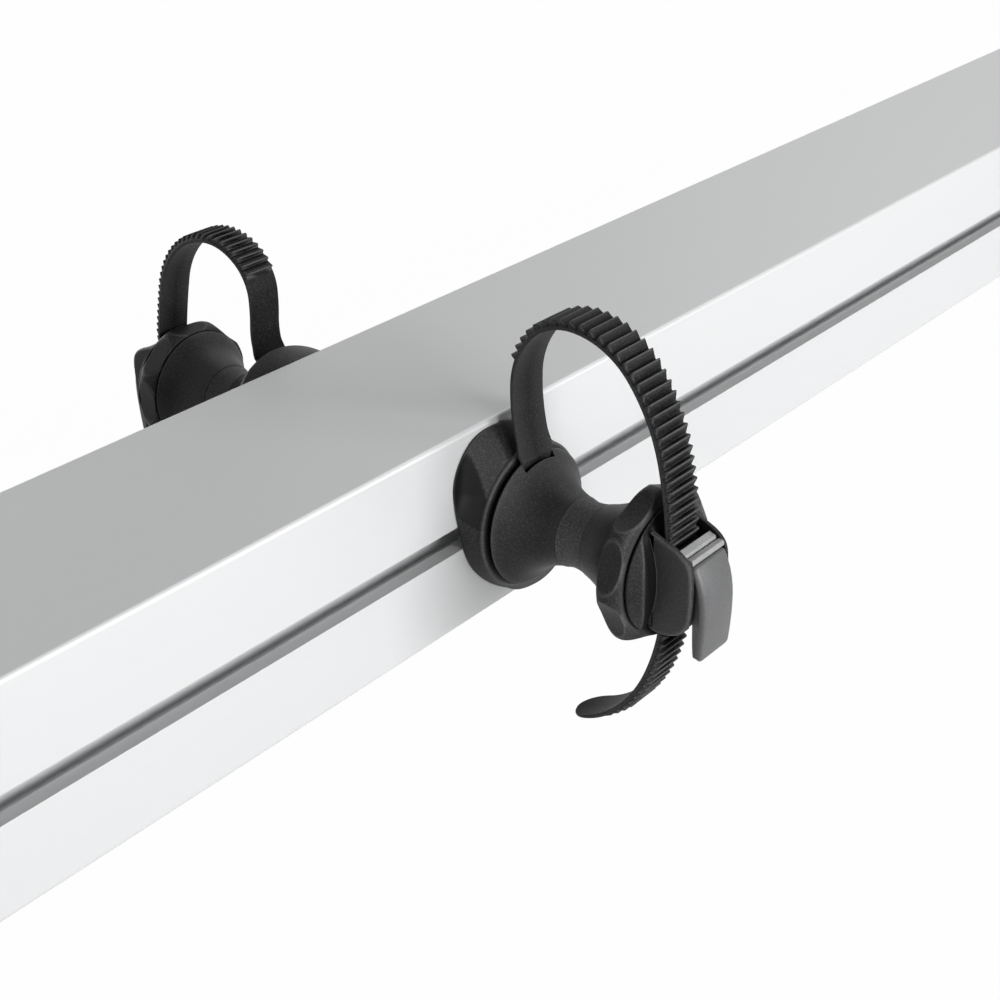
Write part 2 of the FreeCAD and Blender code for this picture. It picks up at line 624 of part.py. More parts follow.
def holder_foot():
    """Oval clamp foot that rises to a round rim, scooped at both sides."""
    foot = Part.makeLoft([
        oval(0, FOOT_HALF_WIDTH, FOOT_HALF_HEIGHT, FOOT_TILT),
        oval(FOOT_DEPTH * 0.25, FOOT_HALF_WIDTH + 0.6, FOOT_HALF_HEIGHT - 1.5, FOOT_TILT),
        oval(FOOT_DEPTH, FOOT_RIM_RADIUS, FOOT_RIM_RADIUS + 0.01, FOOT_TILT),
    ], True, False)
    tilt = math.radians(FOOT_TILT)
    across = V(math.cos(tilt), 0, math.sin(tilt))
    along = V(-math.sin(tilt), 0, math.cos(tilt))
    reach = FOOT_HALF_WIDTH + FOOT_SCOOP_RADIUS - FOOT_SCOOP_DEPTH
    for side in (-1, 1):
        centre = across * (side * reach) + outward(0, FOOT_DEPTH * 0.3, 0)
        length = 3.0 * FOOT_HALF_HEIGHT
        scoop = Part.makeCylinder(FOOT_SCOOP_RADIUS, length, centre - along * length / 2.0, along)
        keep = disc(FOOT_RIM_RADIUS + 20, FOOT_DEPTH - 2.5, FOOT_DEPTH + 5)
        foot = foot.cut(scoop.cut(keep))
    return foot.cut(stud_hole(0, FOOT_DEPTH))


def long_foot():
    """The far holder's foot and the long base under it, as one flowing form."""
    tall = FAR_FOOT_HALF_HEIGHT
    middle = (FOOT_DEPTH - FAR_STANDOFF) / 2.0
    body = Part.makeLoft([
        oval(-FAR_STANDOFF, FOOT_HALF_WIDTH, tall, FAR_FOOT_TILT),
        oval(middle, FAR_FOOT_MIDDLE_WIDTH, FAR_FOOT_MIDDLE_HEIGHT, FAR_FOOT_TILT),
        oval(FOOT_DEPTH, FOOT_RIM_RADIUS, FOOT_RIM_RADIUS + 0.01, FAR_FOOT_TILT),
    ], True, False)
    return body.cut(stud_hole(-FAR_STANDOFF, FOOT_DEPTH))


def far_foot():
    return long_foot().common(disc(2.0 * FAR_FOOT_MIDDLE_HEIGHT, 0, FOOT_DEPTH + 1))


def standoff():
    """Base that carries the far holder further out."""
    return long_foot().common(disc(2.0 * FAR_FOOT_MIDDLE_HEIGHT, -FAR_STANDOFF - 1, 0))


def inner_cone():
    """Inner flare of the spool, with the strap's slot in its back edge."""
    back = FOOT_DEPTH + SEAM
    bore = STUD_RADIUS + STUD_HOLE_CLEARANCE
    middle = (back + 8.5, 26.2)
    cone = turned([
        line((FOOT_DEPTH, bore), (FOOT_DEPTH, CONE_RADIUS - 4.0)),
        line((FOOT_DEPTH, CONE_RADIUS - 4.0), (back, CONE_RADIUS - 4.0)),
        line((back, CONE_RADIUS - 4.0), (back, CONE_RADIUS - CONE_EDGE)),
        line((back, CONE_RADIUS - CONE_EDGE), (back + CONE_EDGE, CONE_RADIUS)),
        arc((back + CONE_EDGE, CONE_RADIUS), middle, (CONE_END, WAIST_RADIUS)),
        line((CONE_END, WAIST_RADIUS), (CONE_END, SPIGOT_RADIUS)),
        line((CONE_END, SPIGOT_RADIUS), (CONE_END + SPIGOT_LENGTH, SPIGOT_RADIUS)),
        line((CONE_END + SPIGOT_LENGTH, SPIGOT_RADIUS), (CONE_END + SPIGOT_LENGTH, bore)),
        line((CONE_END + SPIGOT_LENGTH, bore), (FOOT_DEPTH, bore)),
    ])
    half = STRAP_WIDTH / 2.0 + STRAP_SLOT_CLEARANCE
    reach = STRAP_EYE_RADIUS + STRAP_SLOT_CLEARANCE
    floor = STRAP_PIN_HEIGHT - reach
    shelf = STRAP_PIN_HEIGHT + reach
    front = STRAP_PIN_OUT + reach
    mouth, height = STRAP_START
    lean = math.tan(math.radians(STRAP_HEADING - 90.0))
    wall = [(mouth + STRAP_ROOT_GAP + (height - z) * lean, z) for z in (height + 10.0, shelf)]
    profile = [(FOOT_DEPTH, height + 10.0)] + wall + [(front, shelf), (front, floor), (FOOT_DEPTH, floor)]
    cone = cone.cut(prism_x([(-u, z) for u, z in profile], -half, half))
    return cone.cut(strap_pin())


def waist_sleeve():
    """Soft saddle ring at the narrowest stretch, where the tyre lies."""
    bore = STUD_RADIUS + STUD_HOLE_CLEARANCE
    socket = SPIGOT_RADIUS + SPIGOT_CLEARANCE
    depth = SPIGOT_LENGTH + SPIGOT_CLEARANCE
    middle = ((CONE_END + WAIST_END) / 2.0 + 2.0, WAIST_MIN_RADIUS)
    edge = (WAIST_END, WAIST_RADIUS - 0.8)
    return turned([
        line((CONE_END, socket), (CONE_END, WAIST_RADIUS)),
        arc((CONE_END, WAIST_RADIUS), middle, edge),
        line(edge, (WAIST_END, socket)),
        line((WAIST_END, socket), (WAIST_END - depth, socket)),
        line((WAIST_END - depth, socket), (WAIST_END - depth, bore)),
        line((WAIST_END - depth, bore), (CONE_END + depth, bore)),
        line((CONE_END + depth, bore), (CONE_END + depth, socket)),
        line((CONE_END + depth, socket), (CONE_END, socket)),
    ])


def outer_cone():
    """Outer flare of the spool, ending in the knob's seat."""
    bore = STUD_RADIUS + STUD_HOLE_CLEARANCE
    edge = (WAIST_END, WAIST_RADIUS - 0.8)
    middle = (WAIST_END + 15.0, 23.0)
    return turned([
        line((WAIST_END - SPIGOT_LENGTH, bore), (WAIST_END - SPIGOT_LENGTH, SPIGOT_RADIUS)),
        line((WAIST_END - SPIGOT_LENGTH, SPIGOT_RADIUS), (WAIST_END, SPIGOT_RADIUS)),
        line((WAIST_END, SPIGOT_RADIUS), edge),
        arc(edge, middle, (OUTER_CONE_END, OUTER_CONE_RADIUS)),
        line((OUTER_CONE_END, OUTER_CONE_RADIUS), (OUTER_CONE_END, bore)),
        line((OUTER_CONE_END, bore), (WAIST_END - SPIGOT_LENGTH, bore)),
    ])


def t_nut(standoff_length):
    """Hammer nut: a head in the slot and a neck between its lips."""
    start = -standoff_length
    neck = SLOT_OPENING / 2.0 - NUT_CLEARANCE
    head = SLOT_INNER_HEIGHT / 2.0 - NUT_CLEARANCE
    length = NUT_LENGTH / 2.0
    top = start - SLOT_LIP - NUT_CLEARANCE
    bottom = start - SLOT_LIP - SLOT_INNER_DEPTH + NUT_CLEARANCE
    nut = box(-length, length, -start, -top, -neck, neck)
    nut = nut.fuse(box(-length, length, -top, -bottom, -head, head))
    return nut.cut(disc(STUD_RADIUS, bottom - 1, start + 1)).removeSplitter()


def clamp_stud(standoff_length):
    """Stud from the hammer nut out to the buckle, drilled for the end screw."""
    start = -standoff_length - SLOT_LIP - SLOT_INNER_DEPTH + NUT_CLEARANCE
    end = HOUSING_START + STUD_SEAT
    stud = disc(STUD_RADIUS, start, end)
    return stud.cut(disc(HOUSING_SCREW_RADIUS, end - STUD_BORE_DEPTH, end + 1))


def clamp_knob(radius, face_radius, scoop_floor, phase):
    """Eight-lobed knob: a bulged rim with eight thumb flats scooped out."""
    u0 = KNOB_START
    u1 = KNOB_END
    rim = (u0 + u1) / 2.0
    knob = turned([
        line((u0, INSERT_RADIUS), (u0, face_radius)),
        arc((u0, face_radius), (rim, radius), (u1, face_radius)),
        line((u1, face_radius), (u1, INSERT_RADIUS)),
        line((u1, INSERT_RADIUS), (u0, INSERT_RADIUS)),
    ])
    reach = scoop_floor + KNOB_SCOOP_RADIUS
    for k in range(KNOB_LOBES):
        angle = math.radians(phase + 360.0 * k / KNOB_LOBES)
        centre = outward(reach * math.cos(angle), u0 - 1, reach * math.sin(angle))
        scoop = Part.makeCylinder(KNOB_SCOOP_RADIUS, KNOB_THICKNESS + 2, centre, outward(0, 1, 0))
        knob = knob.cut(scoop)
    return knob


def knob_insert():
    """Threaded metal bush that turns on the stud."""
    return disc(INSERT_RADIUS, OUTER_CONE_END + 0.1, KNOB_END).cut(
        disc(STUD_RADIUS + THREAD_CLEARANCE, KNOB_START - 2, KNOB_END + 1))


# Buckle

def housing_outline():
    """Side view of a buckle cheek, as (u, z)."""
    start = HOUSING_START
    out = start + CHEEK_OUT
    return [
        (start, -27.0), (start, 22.8), (start + 4.0, 20.4), (out - 2.0, 15.4), (out - 0.4, 13.4),
        (out, 10.6), (out, -16.4), (out - 2.0, -20.4), (out - 8.6, -25.6), (out - 15.0, -28.0),
    ]


def housing_base():
    """Round base: a conical flank that meets a top arched along Z."""
    start = HOUSING_START
    rim = start + HOUSING_RIM
    height = HOUSING_CROWN + 2.0
    inner = HOUSING_RADIUS - height / math.tan(math.radians(HOUSING_FLANK))
    cone = turned([
        line((start, 0), (start, HOUSING_RADIUS)),
        line((start, HOUSING_RADIUS), (rim, HOUSING_RADIUS)),
        line((rim, HOUSING_RADIUS), (rim + height, inner)),
        line((rim + height, inner), (rim + height, 0)),
        line((rim + height, 0), (start, 0)),
    ])
    low = start + 0.2
    under = start - HOUSING_BASE
    beyond = 1.5 * HOUSING_RADIUS
    arch = [
        arc((low, -HOUSING_ARCH), (start + HOUSING_CROWN, 0), (low, HOUSING_ARCH)),
        line((low, HOUSING_ARCH), (under, beyond)),
        line((under, beyond), (under, -beyond)),
        line((under, -beyond), (low, -HOUSING_ARCH)),
    ]
    face = Part.Face(Part.Wire(arch))
    face.translate(V(-beyond, 0, 0))
    return cone.common(face.extrude(V(2.0 * beyond, 0, 0)))


def buckle_housing():
    """Round base, two cheeks beside the strap and a guide bar under it."""
    start = HOUSING_START
    outer = CHEEK_INNER + CHEEK_THICKNESS
    outline = [(-u, z) for u, z in housing_outline()]
    block = prism_x(outline, -outer, outer)
    rims = [e for e in block.Edges if abs(abs(e.CenterOfMass.x) - outer) < 0.01]
    rims = [e for e in rims if e.CenterOfMass.y < -start - 1.0]
    block = block.makeFillet(CHEEK_ROUNDING, rims)
    housing = housing_base().fuse(block)
    beyond = start + 2.0 * CHEEK_OUT
    tall = 2.0 * HOUSING_RADIUS
    passage = box(-CHEEK_INNER, CHEEK_INNER, -beyond, -HOUSING_FLOOR, -tall, tall)
    housing = housing.cut(passage)
    ramp = [(drop - HOUSING_FLOOR, z) for drop, z in HOUSING_RAMP]
    ramp += [(-beyond, HOUSING_RAMP[-1][1]), (-beyond, HOUSING_RAMP[0][1])]
    housing = housing.cut(prism_x(ramp, -CHEEK_INNER, CHEEK_INNER))
    (guide_in, guide_out), (guide_low, guide_high) = GUIDE_BAR
    guide = box(-CHEEK_INNER - 0.1, CHEEK_INNER + 0.1, -guide_out, -guide_in, guide_low, guide_high)
    housing = housing.fuse(guide)
    housing = housing.cut(disc(STUD_RADIUS + THREAD_CLEARANCE, start - 1, start + STUD_SEAT))
    housing = housing.cut(disc(HOUSING_SCREW_RADIUS + 0.1, start, HOUSING_FLOOR + 1))
    top = HOUSING_FLOOR - HOUSING_SCREW_SINK
    seat = Part.makeCone(HOUSING_SCREW_RADIUS + 0.1, HOUSING_SCREW_HEAD + 0.1, HEAD_DEPTH,
                         outward(0, top - HEAD_DEPTH, 0), outward(0, 1, 0))
    housing = housing.cut(seat).cut(disc(HOUSING_SCREW_HEAD + 0.1, top, HOUSING_FLOOR + 1))
    return housing.cut(lever_pin()).cut(hold_pawl_pin()).removeSplitter()


def housing_screw():
    """Countersunk screw that holds the housing on the stud's end."""
    start = HOUSING_FLOOR - HOUSING_SCREW_SINK - HEAD_DEPTH
    head = Part.makeCone(HOUSING_SCREW_RADIUS, HOUSING_SCREW_HEAD, HEAD_DEPTH,
                         outward(0, start, 0), outward(0, 1, 0))
    shank = disc(HOUSING_SCREW_RADIUS, HOUSING_START - 8.0, start)
    return head.fuse(shank)


def from_pin(outline, out, up):
    """Side view in (y, z) from (out, up) offsets of a pin's centre."""
    return [(-(out + a), up + b) for a, b in outline]


def buckle_lever():
    """Curved pump lever with side skirts and two ears round the pin."""
    u = LEVER_PIN_OUT
    z = LEVER_PIN_HEIGHT
    half = LEVER_HALF_WIDTH
    lever = prism_x(from_pin(LEVER_OUTSIDE + LEVER_INSIDE, u, z), -half, half)
    skin = LEVER_POCKET[:2] + tuple((a - LEVER_SKIN, b) for a, b in LEVER_POCKET[2:]) + LEVER_POCKET_INSIDE
    pocket = half - LEVER_SKIN
    lever = lever.cut(prism_x(from_pin(skin, u, z), -pocket, pocket))
    lever = lever.cut(cross_pin(u, z, half + 1, LEVER_PIN_RADIUS + PIN_CLEARANCE))
    return lever.cut(cross_pin(DRIVE_PIN_OUT, DRIVE_PIN_HEIGHT, half + 1, PAWL_PIN_RADIUS)).removeSplitter()


def cheek_pin(u, z, radius):
    """Pin across the buckle: seated blind in one cheek, through the other."""
    return rod(outward(-CHEEK_INNER - PIN_SEAT, u, z), outward(CHEEK_INNER + CHEEK_THICKNESS, u, z), radius)


def cross_pin(u, z, half, radius):
    return rod(outward(-half, u, z), outward(half, u, z), radius)


def lever_pin():
    return cheek_pin(LEVER_PIN_OUT, LEVER_PIN_HEIGHT, LEVER_PIN_RADIUS)


def drive_pawl_pin():
    return cross_pin(DRIVE_PIN_OUT, DRIVE_PIN_HEIGHT, LEVER_HALF_WIDTH, PAWL_PIN_RADIUS)


def hold_pawl_pin():
    return cheek_pin(HOLD_PIN_OUT, HOLD_PIN_HEIGHT, PAWL_PIN_RADIUS)


def drive_pawl():
    """Pawl on the lever that pushes the strap down as the lever pumps."""
    half = LEVER_HALF_WIDTH - LEVER_SKIN - 0.3
    pawl = prism_x(from_pin(DRIVE_PAWL, DRIVE_PIN_OUT, DRIVE_PIN_HEIGHT), -half, half)
    return pawl.cut(cross_pin(DRIVE_PIN_OUT, DRIVE_PIN_HEIGHT, half + 1, PAWL_PIN_RADIUS + PIN_CLEARANCE))


def hold_pawl():
    """Spring pawl that keeps the strap, with its release bar over the lever's top."""
    u = HOLD_PIN_OUT
    z = HOLD_PIN_HEIGHT
    wide = LEVER_HALF_WIDTH
    narrow = LEVER_HALF_WIDTH - LEVER_SKIN - 0.3
    pawl = prism_x(from_pin(HOLD_PAWL, u, z), -narrow, narrow)
    pawl = pawl.fuse(prism_x(from_pin(RELEASE_BAR, u, z), -wide, wide))
    return pawl.cut(cross_pin(u, z, wide + 1, PAWL_PIN_RADIUS + PIN_CLEARANCE)).removeSplitter()


# Strap

NEAR_PATH = (STRAP_HEADING, STRAP_RUNS, STRAP_TURNS)
FAR_PATH = (FAR_STRAP_HEADING, FAR_STRAP_RUNS, FAR_STRAP_TURNS)
NEAR_TEETH = (TOOTH_START, TOOTH_PITCH, TOOTH_HEIGHT)
FAR_TEETH = (FAR_TOOTH_START, FAR_TOOTH_PITCH, FAR_TOOTH_HEIGHT)


def strap_frame(path, distance):
    """Point on the strap's inner line and its heading, at a distance from the root."""
    u, z = STRAP_START
    heading = math.radians(path[0])
    left = distance
    for length, turn in zip(path[1], path[2]):
        step = min(left, length)
        bend = math.radians(turn) * step / length
        chord = step * math.sin(bend / 2.0) / (bend / 2.0) if abs(bend) > 1e-9 else step
        u += chord * math.cos(heading + bend / 2.0)
        z += chord * math.sin(heading + bend / 2.0)
        heading += bend
        left -= step
        if left <= 0:
            break
    return u, z, heading


def strap_point(path, distance, height):
    """Point at a height over the strap's inner line, on the loop's outside."""
    u, z, heading = strap_frame(path, distance)
    return outward(0, u - height * math.sin(heading), z + height * math.cos(heading))


def strap_arc(path, start, end, height):
    middle = strap_point(path, (start + end) / 2.0, height)
    return Part.Arc(strap_point(path, start, height), middle, strap_point(path, end, height)).toShape()


def strap(path, teeth):
    """Toothed strap with an eye at its root and a smooth round tongue."""
    total = sum(path[1])
    first, pitch, rise = teeth
    stops = [0.0]
    for length in path[1]:
        stops.append(stops[-1] + length)
    inner = [strap_arc(path, a, b, 0.0) for a, b in zip(stops[:-1], stops[1:])]
    count = int((total - TONGUE_LENGTH - first) / pitch)
    outline = [strap_point(path, total, 0.0), strap_point(path, total, STRAP_THICKNESS * 0.7)]
    outline.append(strap_point(path, total - TONGUE_LENGTH / 2.0, STRAP_THICKNESS))
    for k in range(count, 0, -1):
        foot = first + (k - 1) * pitch
        outline.append(strap_point(path, foot + pitch, STRAP_THICKNESS))
        outline.append(strap_point(path, foot + TOOTH_CREST, STRAP_THICKNESS + rise))
        outline.append(strap_point(path, foot, STRAP_THICKNESS))
    flanks = []
    for a, b in zip(outline[:-1], outline[1:]):
        if a.distanceToPoint(b) > 1e-6:
            flanks.append(Part.LineSegment(a, b).toShape())
    root = [stop for stop in stops if stop < first] + [first]
    back = [strap_arc(path, a, b, STRAP_THICKNESS) for a, b in zip(root[:-1], root[1:])]
    close = Part.LineSegment(strap_point(path, 0, STRAP_THICKNESS), strap_point(path, 0, 0)).toShape()
    wire = Part.Wire(Part.__sortEdges__(inner + flanks + back + [close]))
    half = STRAP_WIDTH / 2.0
    face = Part.Face(wire)
    face.translate(V(-half, 0, 0))
    band = face.extrude(V(STRAP_WIDTH, 0, 0))
    neck = [strap_point(path, 0.4, 0), strap_point(path, 0.4, STRAP_THICKNESS),
            outward(0, STRAP_PIN_OUT - STRAP_EYE_RADIUS + 0.6, STRAP_PIN_HEIGHT + 1.6),
            outward(0, STRAP_PIN_OUT + 1.6, STRAP_PIN_HEIGHT + 2.8)]
    neck = [p + V(-half, 0, 0) for p in neck]
    root_eye = cross_pin(STRAP_PIN_OUT, STRAP_PIN_HEIGHT, half, STRAP_EYE_RADIUS)
    band = band.fuse(face_of(neck).extrude(V(STRAP_WIDTH, 0, 0))).fuse(root_eye)
    band = band.cut(cross_pin(STRAP_PIN_OUT, STRAP_PIN_HEIGHT, half + 1, STRAP_PIN_RADIUS + 0.1))
    return band.cut(tongue_cutter(path, total)).removeSplitter()


def tongue_cutter(path, total):
    """What the round tip of the tongue leaves out."""
    half = STRAP_WIDTH / 2.0
    deep = 3.0 * (STRAP_THICKNESS + TOOTH_HEIGHT)
    u, z, heading = strap_frame(path, total - half)
    along = outward(0, math.cos(heading), math.sin(heading))
    normal = outward(0, -math.sin(heading), math.cos(heading))
    centre = outward(0, u, z) - normal * deep
    block = Part.makeBox(1.6 * half, 2.8 * half, 2.0 * deep)
    placement = FreeCAD.Placement()
    placement.Rotation = FreeCAD.Rotation(along, V(1, 0, 0), normal, "XZY")
    placement.Base = centre - V(1.4 * half, 0, 0)
    block.Placement = placement
    round_tip = Part.makeCylinder(half, 2.2 * deep, centre - normal, normal)
    return block.cut(round_tip)


def strap_pin():
    return cross_pin(STRAP_PIN_OUT, STRAP_PIN_HEIGHT, STRAP_WIDTH / 2.0 + STRAP_PIN_REACH, STRAP_PIN_RADIUS)


HOLDER_PIECES = {
    "inner_cone": inner_cone,
    "waist_sleeve": waist_sleeve,
    "outer_cone": outer_cone,
    "knob_insert": knob_insert,
    "buckle_housing": buckle_housing,
    "housing_screw": housing_screw,
    "buckle_lever": buckle_lever,
    "lever_pin": lever_pin,
    "drive_pawl": drive_pawl,
    "drive_pawl_pin": drive_pawl_pin,
    "hold_pawl": hold_pawl,
    "hold_pawl_pin": hold_pawl_pin,
    "strap_pin": strap_pin,
}


def model():
    """Every sub-part by name."""
    parts = {
        "beam": beam(),
        "front_end_cap": end_cap(-1),
        "rear_end_cap": end_cap(1),
        "front_cap_screws": end_cap_screws(-1),
        "rear_cap_screws": end_cap_screws(1),
        "floor_rail": floor_rail(),
        "middle_rail": middle_rail(),
        "lower_glides": lower_glides(),
        "upper_glides": upper_glides(),
        "front_floor_foot": floor_foot(-1),
        "rear_floor_foot": floor_foot(1),
        "foot_screws": foot_screws(),
        "pull_handle": pull_handle(),
        "handle_screws": handle_screws(),
        "latch_bracket": latch_bracket(),
        "latch_lever": latch_lever(),
        "latch_pin": latch_pin(),
        "latch_strike": strike(),
        "far_standoff": place(standoff(), 1),
        "near_foot": place(holder_foot(), -1),
        "far_foot": place(far_foot(), 1),
        "near_strap": place(strap(NEAR_PATH, NEAR_TEETH), -1),
        "far_strap": place(strap(FAR_PATH, FAR_TEETH), 1),
    }
    near_knob = clamp_knob(KNOB_RADIUS, KNOB_FACE_RADIUS, KNOB_SCOOP_FLOOR, KNOB_PHASE)
    far_knob = clamp_knob(FAR_KNOB_RADIUS, FAR_KNOB_FACE_RADIUS, FAR_KNOB_SCOOP_FLOOR, FAR_KNOB_PHASE)
    parts["near_clamp_knob"] = place(near_knob, -1)
    parts["far_clamp_knob"] = place(far_knob, 1)
    for name, build in HOLDER_PIECES.items():
        piece = build()
        parts["near_" + name] = place(piece, -1)
        parts["far_" + name] = place(piece, 1)
    for side, prefix, gap in ((-1, "near_", 0.0), (1, "far_", FAR_STANDOFF)):
        parts[prefix + "t_nut"] = place(t_nut(gap), side)
        parts[prefix + "clamp_stud"] = place(clamp_stud(gap), side)
    return parts


os.makedirs("parts", exist_ok=True)
for node, shape in model().items():
    shape.exportStep("parts/" + node + ".step")
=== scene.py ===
"""Looks of the slide-out bike carrier, in metres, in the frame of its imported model."""
import json
import math

import bmesh
import bpy
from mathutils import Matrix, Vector


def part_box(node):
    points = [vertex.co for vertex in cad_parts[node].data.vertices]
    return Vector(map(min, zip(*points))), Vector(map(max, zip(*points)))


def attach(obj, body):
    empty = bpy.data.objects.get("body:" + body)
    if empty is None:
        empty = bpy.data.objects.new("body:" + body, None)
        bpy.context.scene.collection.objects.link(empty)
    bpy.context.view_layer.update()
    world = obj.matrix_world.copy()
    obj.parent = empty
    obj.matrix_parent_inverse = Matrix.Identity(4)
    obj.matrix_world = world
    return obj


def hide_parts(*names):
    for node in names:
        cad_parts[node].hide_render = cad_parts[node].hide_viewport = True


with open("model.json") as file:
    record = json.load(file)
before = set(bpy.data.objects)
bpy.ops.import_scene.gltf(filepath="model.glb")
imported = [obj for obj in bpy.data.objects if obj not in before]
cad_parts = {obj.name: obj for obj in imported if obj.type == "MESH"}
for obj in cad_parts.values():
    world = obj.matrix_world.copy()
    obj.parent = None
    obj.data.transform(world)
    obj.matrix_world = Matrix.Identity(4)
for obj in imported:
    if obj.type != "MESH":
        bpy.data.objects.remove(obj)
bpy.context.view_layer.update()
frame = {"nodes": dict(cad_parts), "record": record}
NODES = frame["nodes"]

# Camera, solved from the photograph's vanishing lines: metres, degrees, and millimetres of lens
CAMERA_PLACE = (-0.75355, -0.53864, 0.51116)
CAMERA_HEADING = 37.6
CAMERA_PITCH = 28.7
CAMERA_LENS = 62.5
CAMERA_SENSOR = 36.0
CAMERA_SHIFT = -0.1
CAMERA_NEAREST = 0.01

# Colours, linear
PLASTIC_BLACK = (0.0145, 0.0145, 0.0152, 1.0)
STRAP_BLACK = (0.0085, 0.0085, 0.0090, 1.0)
LEVER_GREY = (0.085, 0.086, 0.088, 1.0)
RELEASE_GREY = (0.26, 0.262, 0.265, 1.0)
SLEEVE_BLACK = (0.07, 0.07, 0.0705, 1.0)
ALUMINIUM = (0.60, 0.605, 0.61, 1.0)
RAIL_ALUMINIUM = (0.56, 0.565, 0.575, 1.0)
ZINC = (0.48, 0.485, 0.49, 1.0)
GLIDE_WHITE = (0.72, 0.72, 0.68, 1.0)
BLACKENED = (0.02, 0.02, 0.021, 1.0)
FLOOR_PALE = (0.5, 0.5, 0.5, 1.0)
WHITE = (1.0, 1.0, 1.0, 1.0)

# Floor and room: how white they look, and how much the room lights
FLOOR_REACH = 15.0
FLOOR_WHITENESS = 0.985
FLOOR_ROUGHNESS = 0.9
FLOOR_GLOSS = 0.1
ROOM_LIGHT = 0.085

# Soft lamps, as name, place, what they are turned to, size and watts
LAMPS = (
    ("side light", (0.1, -2.6, 0.74), (-0.15, 0.0, 0.1), (2.2, 1.2), 97.0),
    ("left light", (-2.6, -1.3, 0.3), (-0.2, 0.0, 0.1), (1.6, 0.6), 10.0),
    ("back light", (-0.1, 2.6, 0.4), (-0.1, 0.0, 0.1), (2.2, 0.7), 22.0),
    ("top light", (1.3, 0.3, 1.8), (0.0, 0.0, 0.1), (1.2, 1.2), 11.0),
)

# Moulded plastic: fine grain under broad clouds, in waves per metre, and what each one changes
GRAIN_DETAIL = 3.0
GRAIN_TONES = (0.2, 1.9)
GRAIN_HEIGHT = 0.0002
GRAIN_PALE = (0.11, 0.11, 0.112, 1.0)
CLOUD_SCALE = 45.0
CLOUD_TONES = (0.7, 1.3)
CLOUD_ROUGHNESS = (-0.04, 0.05)
GLINT_LEVEL = 0.54
GLINT_GAIN = 5.0

# Tone kept at the points of a mesh: 1 paints a surface paler, partly as wear and partly as a painted
# highlight, and -1 is painted shade in hollows, gaps and on faces under or between parts
TONE = "tone"
# How dark painted shade gets, and the pale that wear and painted highlight add
PAINTED_SHADE_LEVEL = 0.05
WEAR_AND_HIGHLIGHT_PALE = (0.075, 0.075, 0.077, 1.0)

# Drawn metal: fine lines under a soft sheen, both drawn out along X
LINE_SCALE = 1600.0
LINE_STRETCH = (0.004, 1.0, 1.0)
LINE_TONES = (0.975, 1.015)
LINE_ROUGHNESS = (-0.03, 0.04)
LINE_HEIGHT = 0.0001
SHEEN_SCALE = 9.0
SHEEN_STRETCH = (0.4, 1.0, 1.0)
SHEEN_TONES = (0.985, 1.01)
METAL_DETAIL = 2.0

# Edges: the width that is shaded round, and how strongly a round edge is painted paler, partly as
# wear and partly as a painted highlight
EDGE_WIDTH = 0.0006
EDGE_SAMPLES = 4
EDGE_GAIN = 14.0


# Shared surface effects

EFFECT_OUTPUTS = (
    ("Colour", "NodeSocketColor"),
    ("Roughness", "NodeSocketFloat"),
    ("Normal", "NodeSocketVector"),
)


def effect_group(name, inputs):
    """Empty node group that gives out a colour, a roughness and a normal, and its two end nodes."""
    group = bpy.data.node_groups.new(name, "ShaderNodeTree")
    for label, value in inputs.items():
        kind = "NodeSocketColor" if isinstance(value, tuple) else "NodeSocketFloat"
        socket = group.interface.new_socket(name=label, in_out="INPUT", socket_type=kind)
        socket.default_value = value
    for label, kind in EFFECT_OUTPUTS:
        group.interface.new_socket(name=label, in_out="OUTPUT", socket_type=kind)
    start = group.nodes.new("NodeGroupInput")
    end = group.nodes.new("NodeGroupOutput")
    return group, start, end


def feed(tree, socket, value):
    """Link another socket to a socket, or set it to a plain value."""
    if isinstance(value, bpy.types.NodeSocket):
        tree.links.new(value, socket)
    else:
        socket.default_value = value


def mixed(tree, blend, factor, first, second):
    """Two colours mixed by a factor."""
    node = tree.nodes.new("ShaderNodeMix")
    node.data_type = "RGBA"
    node.blend_type = blend
    # The node has sockets for several kinds of values: these numbers are those for colours
    for number, value in ((0, factor), (6, first), (7, second)):
        feed(tree, node.inputs[number], value)
    return node.outputs[2]


def mapped(tree, value, low, high):
    """A value from 0 to 1, mapped to a range."""
    node = tree.nodes.new("ShaderNodeMapRange")
    for label, source in (("Value", value), ("To Min", low), ("To Max", high)):
        feed(tree, node.inputs[label], source)
    return node.outputs["Result"]


def calculated(tree, operation, *values, clamped=False):
    """Result of a sum on values, kept from 0 to 1 if clamped."""
    node = tree.nodes.new("ShaderNodeMath")
    node.operation = operation
    node.use_clamp = clamped
    for socket, value in zip(node.inputs, values):
        feed(tree, socket, value)
    return node.outputs[0]


def noise(tree, scale, detail, stretch=(1.0, 1.0, 1.0)):
    """Noise over the object's own coordinates, in waves per metre, stretched per axis."""
    place = tree.nodes.new("ShaderNodeTexCoord")
    mapping = tree.nodes.new("ShaderNodeMapping")
    mapping.inputs["Scale"].default_value = stretch
    tree.links.new(place.outputs["Object"], mapping.inputs["Vector"])
    node = tree.nodes.new("ShaderNodeTexNoise")
    node.inputs["Detail"].default_value = detail
    tree.links.new(mapping.outputs[0], node.inputs["Vector"])
    feed(tree, node.inputs["Scale"], scale)
    return node.outputs["Fac"]


def soft_edges(group, start):
    """Normal that shades the edges round."""
    bevel = group.nodes.new("ShaderNodeBevel")
    bevel.samples = EDGE_SAMPLES
    group.links.new(start.outputs["Edge width"], bevel.inputs["Radius"])
    return bevel.outputs[0]


def embossed(group, normal, pattern, strength, height):
    """Normal of a surface that a pattern raises by at most a height."""
    bump = group.nodes.new("ShaderNodeBump")
    bump.inputs["Distance"].default_value = height
    group.links.new(strength, bump.inputs["Strength"])
    group.links.new(pattern, bump.inputs["Height"])
    group.links.new(normal, bump.inputs["Normal"])
    return bump.outputs[0]


